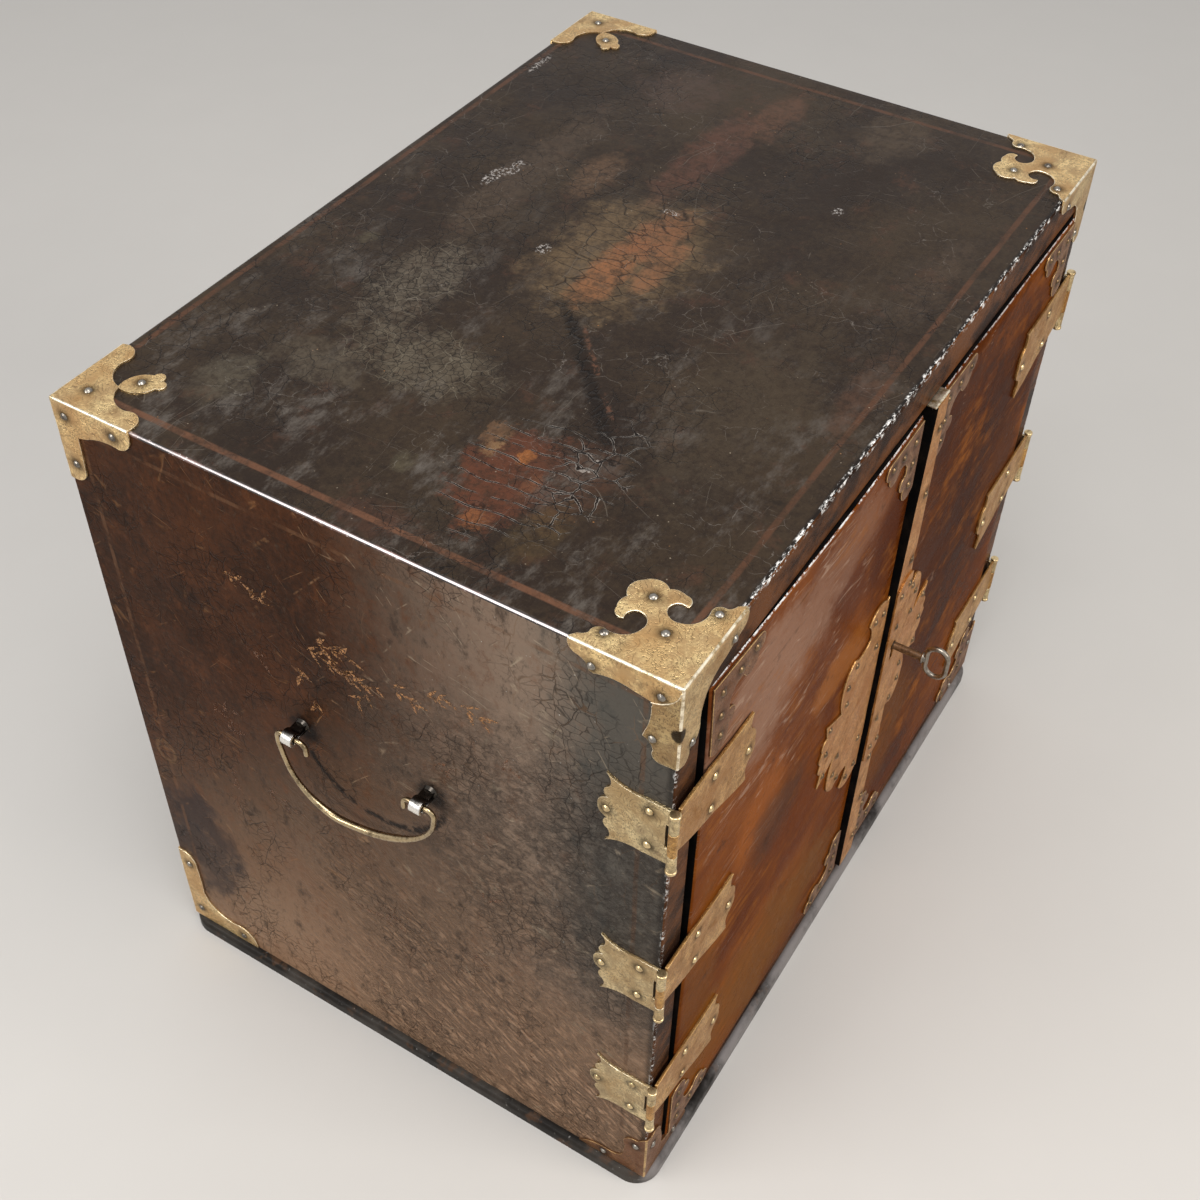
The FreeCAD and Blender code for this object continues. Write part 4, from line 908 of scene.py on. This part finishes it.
def barAlong(points, radii, sides=6):
    # a round bar made from a curve; radii in millimetres
    data = bpy.data.curves.new("bar", "CURVE")
    data.dimensions = "3D"
    data.bevel_depth = mm
    data.bevel_resolution = sides
    data.use_fill_caps = True
    line = data.splines.new("POLY")
    line.points.add(len(points) - 1)
    for spot, point, radius in zip(line.points, points, radii):
        spot.co = (*point, 1)
        spot.radius = radius
    holder = bpy.data.objects.new("bar", data)
    bpy.context.scene.collection.objects.link(holder)
    mesh = bpy.data.meshes.new_from_object(holder.evaluated_get(bpy.context.evaluated_depsgraph_get()))
    bpy.data.objects.remove(holder)
    made = bmesh.new()
    made.from_mesh(mesh)
    bmesh.ops.remove_doubles(made, verts=made.verts, dist=1e-6)
    bmesh.ops.recalc_face_normals(made, faces=made.faces)
    return made


def arcThrough(first, second, third, count):  # points of the circle through three places in a plane
    (ax, ay), (bx, by), (cx, cy) = first, second, third
    twice = 2 * (ax * (by - cy) + bx * (cy - ay) + cx * (ay - by))
    a, b, c = ax * ax + ay * ay, bx * bx + by * by, cx * cx + cy * cy
    x = (a * (by - cy) + b * (cy - ay) + c * (ay - by)) / twice
    y = (a * (cx - bx) + b * (ax - cx) + c * (bx - ax)) / twice
    start, middle, end = (math.atan2(py - y, px - x) for px, py in (first, second, third))
    turn = (end - start) % (2 * math.pi)
    if (middle - start) % (2 * math.pi) > turn:
        turn -= 2 * math.pi
    radius = math.hypot(ax - x, ay - y)
    return [(x + radius * math.cos(start + turn * step / count),
             y + radius * math.sin(start + turn * step / count)) for step in range(count + 1)]


sprigs = {
    "gold": (  # y, z, length, lean in degrees, leaves
        (60, 277, 13, 200, 4), (47, 269, 9, 150, 3), (24, 257, 20, 188, 8), (18, 262, 14, 165, 6),
        (8, 252, 17, 172, 6), (-15, 260, 14, 205, 5), (-29, 263, 12, 160, 4), (-45, 268, 12, 200, 4),
        (29, 243, 7, 250, 2), (24, 228, 5, 280, 2), (-2, 247, 9, 300, 3),
    ),
    "faded": (
        (80, 187, 14, 160, 4), (73, 177, 10, 120, 3), (60, 149, 17, 205, 5), (75, 140, 12, 70, 3),
        (59, 127, 14, 310, 4), (24, 101, 13, 190, 4), (9, 100, 15, 170, 4), (-6, 106, 10, 35, 3),
        (-52, 155, 8, 100, 2), (-42, 110, 9, 200, 2), (-72, 50, 7, 60, 2), (52, 238, 9, 215, 2),
        (-30, 226, 10, 185, 3), (-60, 244, 9, 165, 2),
    ),
    "lift": 0.07,
}


def addLeaf(made, base, length, width, lean, face):
    # face turns flat x, y into a place on the board
    outline = []
    for step in range(13):
        part = step / 12
        outline.append((part * length, width / 2 * math.sin(math.pi * part ** 0.8) * (1 - 0.25 * part)))
    outline += [(x, -y) for x, y in outline[-2:0:-1]]
    turn = Matrix.Rotation(lean, 2)
    made.faces.new([made.verts.new(face(*(turn @ Vector(point) + Vector(base)))) for point in outline])


def makeSprigs():
    for side, sign in (("left", -1), ("right", 1)):
        for kind, finish, slot in (("gold", "goldLeaf", "aged_brass"), ("faded", "fadedLeaf", "dark_lacquer")):
            chance = random.Random(kind + side)
            made = bmesh.new()

            def face(y, z):
                return Vector((sign * (180 + sprigs["lift"]), y, z)) * mm

            for y, z, length, lean, leaves in sprigs[kind]:
                way = math.radians(lean + chance.uniform(-12, 12))
                if sign > 0:
                    y, way = -y + chance.uniform(-8, 8), math.pi - way
                reach = Vector((math.cos(way), math.sin(way)))
                for number in range(leaves):
                    at = Vector((y, z)) + reach * length * (number / leaves)
                    at += Vector((chance.uniform(-1, 1), chance.uniform(-1, 1)))
                    fan = way + (0.75 if number % 2 else -0.75) * chance.uniform(0.5, 1.2)
                    addLeaf(made, at, chance.uniform(5, 9.5), chance.uniform(1.5, 2.8), fan, face)
                addLeaf(made, Vector((y, z)), length, 0.8, way, face)
            addPiece(side + kind.capitalize() + "Leaf", made, "case", (finish,))


# ---- brass sheets

brass = {"step": 1.6, "rimWidth": 0.2, "fold": 0.75, "wave": 0.1, "waveSize": 9, "haloSize": 3.6}


def nailPlaces(node):  # the middle of each nail head, from its own shape
    places = []
    made = shapeOf(node)
    left = set(made.verts)
    while left:
        group, edge = set(), {left.pop()}
        while edge:
            vert = edge.pop()
            group.add(vert)
            for link in vert.link_edges:
                other = link.other_vert(vert)
                if other in left:
                    left.discard(other)
                    edge.add(other)
        places.append(sum((vert.co for vert in group), Vector()) / len(group))
    made.free()
    return places


def shadeByNails(piece, places, size):
    # stores how near each point is to a nail
    mesh = piece.data
    attribute = mesh.attributes.new("nailShade", "FLOAT", "POINT")
    for index, vert in enumerate(mesh.vertices):
        near = min((vert.co - place).length for place in places) / (size * mm)
        attribute.data[index].value = max(0, min(1, 1.35 - near)) ** 1.5


def roundFolds(made, corner, rim):
    # rounds the edges where the sheet turns over a corner of the case, which shine
    def outermost(face):
        for index, sign in enumerate(corner):
            if face.normal[index] * sign > 0.99:
                far = max(vert.co[index] * sign for vert in made.verts)
                return face.calc_center_median()[index] * sign > far - 0.02 * mm
        return False

    folds = [edge for edge in made.edges if len(edge.link_faces) == 2 and edge.calc_face_angle(0) > 1.2
             and all(outermost(face) for face in edge.link_faces)]
    roundEdges(made, folds, brass["fold"], 4, rim, False)


def brassSheet(name, node, body, places, metals=("brass", "brassRimWearAndHighlight"), bow=False, seed=0, corner=None,
               halo=None):
    made = shapeOf(node)
    if corner:
        roundFolds(made, corner, 1)
    soften(made, brass["rimWidth"], 40, 2, 1)
    gridCut(made, brass["step"])
    if corner and corner[1:] == (-1, 1):
        holed = [lap["hole"][0] + 0.6 * number for number in range(-4, 5)]
        cutAt(made, "z", [326 - down for down in holed])
        cutAt(made, "y", [-127.9 + 0.6 * number for number in range(6)])
        cutAt(made, "x", [corner[0] * (180.4 - 0.6 * number) for number in range(6)])
    bmesh.ops.triangulate(made, faces=[face for face in made.faces if len(face.verts) > 4])
    made.normal_update()
    wavy(made, brass["waveSize"], brass["wave"], seed)
    if bow:
        bowPiece(made)
    piece = addPiece(name, made, body, metals, (node,))
    shadeByNails(piece, places, halo or brass["haloSize"])
    return piece


def makeMounts():
    places = nailPlaces("corner_mount_nails")
    for level, up in (("top", 1), ("bottom", -1)):
        for end, out in (("front", -1), ("back", 1)):
            for side, sign in (("left", -1), ("right", 1)):
                name = level + end.capitalize() + side.capitalize() + "Mount"
                metals = ("cornerBrass", "dimRim") if level + end == "bottomfront" else ("brass", "brassRimWearAndHighlight")
                brassSheet(name, "_".join((level, end, side, "mount")), "case", places, metals,
                           seed=len(name) * 1.7, corner=(sign, out, up))


# the top sheet of a front mount laps over its upright arm: u back from the fold, w down from the top
lap = {
    # the bead's route, where the sheets lie, the torn hole (down, reach, half) and the dull arm below the lap
    "bead": ((9.9, 11), (8, 10.4), (6, 9.5), (4, 8.1), (2.2, 6.4), (0.9, 4.5), (0.2, 2.6), (-0.1, 1.2)),
    "radius": 0.24, "top": 326, "face": -128.4, "side": 180.9,
    "hole": (20.9, 3.9, 3.4), "dull": (3.5, 0.85, 0.42), "front": 0.3,
}


def onMount(place):  # how far down from the top, back from the front and in from the side of the front mounts
    return lap["top"] - place.z / mm, place.y / mm - lap["face"], lap["side"] - abs(place.x) / mm


def tornAt(place):  # how deep inside the torn nail hole at the fold, from 1 in its middle to 0 at its edge
    holeDown, holeReach, holeHalf = lap["hole"]
    down, back, across = onMount(place)
    return 1 - (max(back, across) / holeReach) ** 2 - ((down - holeDown) / holeHalf) ** 2


def makeLaps():
    under, slope, dulled = lap["dull"]
    for side, sign in (("left", -1), ("right", 1)):
        places = [Vector((sign * 180.92, -127.5 + u, 326 - w)) * mm for u, w in lap["bead"]]
        addPiece("topFront" + side.capitalize() + "Lap", barAlong(places, [lap["radius"]] * len(places), 3),
                 "case", ("brassRimWearAndHighlight",))
        # the arm below the lap and the sheet over the front are duller, and a nail has torn out at the fold
        sheet = bpy.data.objects["topFront" + side.capitalize() + "Mount"].data
        for vert, shade in zip(sheet.vertices, sheet.attributes["nailShade"].data):
            down, back, across = onMount(vert.co)
            if across < 0.6 and back > 0.6 and down > under + back * slope:
                shade.value = max(shade.value, dulled)
            if back < 0.5 and down > 0.6:
                shade.value = max(shade.value, lap["front"])
            shade.value = max(shade.value, min(max(tornAt(vert.co) * 3, 0), 0.97))
        for face in sheet.polygons:
            if tornAt(face.center) > 0:
                face.material_index = 0


straps = {"inner": 120, "heights": (254, 160, 73), "half": 12}
nailSets = (  # node, body, metal
    ("corner_mount_nails", "case", "nailSteel"),
    ("hinge_side_nails", "case", "nailBrass"),
    ("left_door_nails", "left_door", "nailDark"),
    ("right_door_nails", "right_door", "nailDark"),
)


def onStrap(place):
    level = min(abs(place.z / mm - height) for height in straps["heights"])
    return abs(place.x) > straps["inner"] * mm and level < straps["half"]


def makeNails():
    for node, body, metal in nailSets:
        made = shapeOf(node)
        made.normal_update()
        for vert in made.verts:
            vert.co -= vert.normal * (noise.noise(vert.co / (1.3 * mm)) + 0.7) * 0.09 * mm
        if body == "left_door":
            bowPiece(made, onStrap)
        paintByFace(made, ((lambda face: body != "case" and onStrap(face.calc_center_median()), 1),), 0)
        words = node.split("_")
        addPiece(words[0] + "".join(word.capitalize() for word in words[1:]), made, body,
                 (metal, "nailBrass"), (node,), 60)


def makeHinges():
    sideNails = nailPlaces("hinge_side_nails")
    for side in ("left", "right"):
        doorNails = nailPlaces(side + "_door_nails")
        brassSheet(side + "HingeSideLeaves", side + "_hinge_side_leaves", "case", sideNails,
                   ("oliveBrass", "brassRimWearAndHighlight"), seed=2)
        brassSheet(side + "HingeDoorLeaves", side + "_hinge_door_leaves", side + "_door", doorNails,
                   ("plateBrass", "dimRim"), seed=5)
        softPiece(side + "HingePins", side + "_hinge_pins", "case", "nailBrass", 0.6, segments=4)


# ---- doors

doors = {"step": 6, "edge": 0.55, "tab": (7.2, 20.4, -131.2, -121, 306.9, 0.9)}


def makeDoors():
    dim = ("dimBrass", "dimRim")
    for side in ("left", "right"):
        bow = side == "left"
        panel = shapeOf(side + "_door_panel")
        gridCut(panel, doors["step"], "xz")
        soften(panel, doors["edge"], 50, 3)
        for vert in panel.verts:
            rough = noise.noise(vert.co / (30 * mm)) * 0.18
            if vert.co.y < -120 * mm:
                vert.co.y += rough * mm
        if bow:
            bowPiece(panel)
        # the door's back is inside wood; its edges get the painted shade of the gaps
        paintByFace(panel, ((lambda face: face.normal.y > 0.7, 1), (lambda face: face.normal.y > -0.35, 2)), 0)
        addPiece(side + "DoorPanel", panel, side + "_door",
                 ("doorLacquer", "inside", "recessPaintedShade"), (side + "_door_panel",))
        nails = nailPlaces(side + "_door_nails")
        brassSheet(side + "LockPlate", side + "_lock_plate", side + "_door", nails, dim, bow, 3, halo=2.2)
        brassSheet(side + "DoorCorners", side + "_door_corner_plates", side + "_door", nails,
                   ("cornerBrass", "dimRim"), bow, 7)
    strip = brassSheet("meetingStrip", "meeting_edge_strip", "right_door", nailPlaces("right_door_nails"), dim,
                       False, 9)
    # the strip's face into the gap gets the painted shade of the gaps
    strip.data.materials.append(finishes["recessPaintedShade"])
    for face in strip.data.polygons:
        if face.normal.x < -0.6 and face.center.y > -133 * mm:
            face.material_index = 2

    # the end of the strip is beaten over the top of the door
    x0, x1, y0, y1, z0, thick = doors["tab"]
    tab = bmesh.new()
    bmesh.ops.create_cube(tab, size=1)
    for vert in tab.verts:
        vert.co = Vector((x0 if vert.co.x < 0 else x1, y0 if vert.co.y < 0 else y1,
                          z0 if vert.co.z < 0 else z0 + thick)) * mm
    gridCut(tab, 1.3)
    soften(tab, 0.3, 50, 2, 0)
    wavy(tab, 4, 0.25, 3)
    addPiece("stripTab", tab, "right_door", ("brassRimWearAndHighlight",))


# ---- lock and key

def makeLock():
    for node, body in (("lock_case", "right_door"), ("lock_bolt", "lock_bolt"), ("lock_keeper", "left_door")):
        softPiece("lock" + node.split("_")[1].capitalize(), node, body, "lockIron", 0.3)
    softPiece("keyWithBow", "key", "key", "keySteel", 0.12, 50)


# ---- handles

handle = {
    "height": 209, "middle": 2.2, "standOff": 7.5, "apart": 60, "width": 5,
    "outer": 3.3, "inner": 1.95, "neck": 1.55, "slit": 0.45,
    "seat": (180.7, 3.1, 2.5, 1.4), "thin": 1.05, "thick": 1.6, "hook": 6.5, "bend": 3,
    "hang": ((36.3, 8.5), (32.6, 22.5), (25.2, 32.2), (13.8, 37.4), (1.8, 36.4), (-10.1, 33), (-22.2, 26.4),
             (-30.4, 19), (-35.2, 11.2)),
}


def handleEye(made, sign, y):
    # a strap bent round the bar, with both of its ends in the board
    outer, inner, out = handle["outer"], handle["inner"], handle["standOff"]
    lean, tuck = math.asin(handle["neck"] / outer), math.asin(handle["slit"] / inner)
    outline = [(0, handle["neck"])]
    for step in range(25):
        turn = (math.pi - lean) * (1 - step / 12)
        outline.append((out + outer * math.cos(turn), outer * math.sin(turn)))
    outline += [(0, -handle["neck"]), (0, -handle["slit"])]
    for step in range(25):
        turn = (math.pi - tuck) * (step / 12 - 1)
        outline.append((out + inner * math.cos(turn), inner * math.sin(turn)))
    outline.append((0, handle["slit"]))
    start = y - handle["width"] / 2
    flat = made.faces.new([made.verts.new(Vector((sign * (180 + far), start, handle["height"] + up)) * mm)
                           for far, up in outline])
    result = bmesh.ops.extrude_face_region(made, geom=[flat])
    bmesh.ops.translate(made, verts=[part for part in result["geom"] if isinstance(part, bmesh.types.BMVert)],
                        vec=(0, handle["width"] * mm, 0))
    bmesh.ops.recalc_face_normals(made, faces=made.faces)


def bailRoute():  # across the side and down from the eyes, from one hooked end to the other
    half, bend = handle["apart"] / 2, handle["bend"]
    inner, outer = half - handle["width"] / 2 - 1.6, half + handle["width"] / 2 + 1.2
    wide = outer + bend
    corner = bend * (1 - math.sqrt(0.5))
    one = [(inner - bend, handle["hook"] - step) for step in (0, 0.35, 0.8, 2, 3)]
    one += arcThrough((inner - bend, bend), (inner - bend + corner, corner), (inner, 0), 6)
    one += [(inner + (outer - inner) * step / 5, 0) for step in (1, 2, 3, 4)]
    one += arcThrough((outer, 0), (wide - corner, corner), (wide, bend), 6)
    hang = [(wide, 0.5), (wide, bend), *handle["hang"], (-wide, bend), (-wide, 0.5)]
    hang = [Vector(place) for place in hang]
    middle = []
    for before, start, end, after in zip(hang, hang[1:], hang[2:], hang[3:]):
        for step in range(6):
            part = step / 6
            middle.append((start * 2 + (end - before) * part
                           + (before * 2 - start * 5 + end * 4 - after) * part ** 2
                           + (start * 3 - before - end * 3 + after) * part ** 3) / 2)
    return one + [tuple(place) for place in middle[1:]] + [(-y, down) for y, down in one[::-1]]


def makeHandles():
    route = bailRoute()
    for side, sign in (("left", -1), ("right", 1)):
        eyes = bmesh.new()
        for end in (-1, 1):
            handleEye(eyes, sign, handle["middle"] + end * handle["apart"] / 2)
        soften(eyes, 0.28, 60, 2)
        # the feet of the eyes lie by the board, where the eye finish paints them near black as shade
        for end in (-1, 1):
            off, radius, outRadius, depth = handle["seat"]
            place = Vector((sign * off, handle["middle"] + end * handle["apart"] / 2, handle["height"])) * mm
            turn = Matrix.Rotation(sign * math.pi / 2, 4, "Y")
            bmesh.ops.create_cone(eyes, cap_ends=True, segments=28, radius1=radius * mm, radius2=outRadius * mm,
                                  depth=depth * mm, matrix=Matrix.Translation(place) @ turn)
        addPiece(side + "HandleEyes", eyes, "case", ("eyeMetalPaintedShade",), (side + "_handle_eyes",))

        points = [Vector((sign * (180 + handle["standOff"]), handle["middle"] + y, handle["height"] - down))
                  * mm for y, down in route]
        radii = []
        for index, (y, down) in enumerate(route):
            swell = min(max((33 - abs(y)) / 20, 0), 1) if down > 12 else 0
            end = min(index, len(route) - 1 - index)
            radii.append((handle["thin"] + (handle["thick"] - handle["thin"]) * swell * swell * (3 - 2 * swell))
                         * (0.55, 0.86, 1)[min(end, 2)])
        bail = barAlong(points, radii)
        addPiece(side + "HandleBail", bail, side + "_handle", ("handleMetal",),
                 (side + "_handle_bail",), 60)


# ---- drawers

def makeDrawers():
    for side in ("left", "right"):
        for row in ("top", "middle", "bottom"):
            body, label = side + "_" + row + "_drawer", side + row.capitalize() + "Drawer"
            front = shapeOf(body + "_front")
            soften(front, 0.5, 40)
            paintByFace(front, ((lambda face: face.normal.y > 0.7, 1),), 0)
            addPiece(label + "Front", front, body, ("doorLacquer", "drawerWood"), (body + "_front",))
            softPiece(label + "Box", body + "_box", body, "drawerWood", 0.4)
            softPiece(label + "Knob", body + "_knob", body, "nailBrass", 0.2, 45)


setCamera()
setLamps()
setRoom()
makeBoards()
makeSprigs()
print("boards and sprigs made")
makeMounts()
makeLaps()
makeNails()
makeHinges()
print("mounts, nails and hinges made")
makeDoors()
makeLock()
makeHandles()
makeDrawers()
print("doors, lock, handles and drawers made")
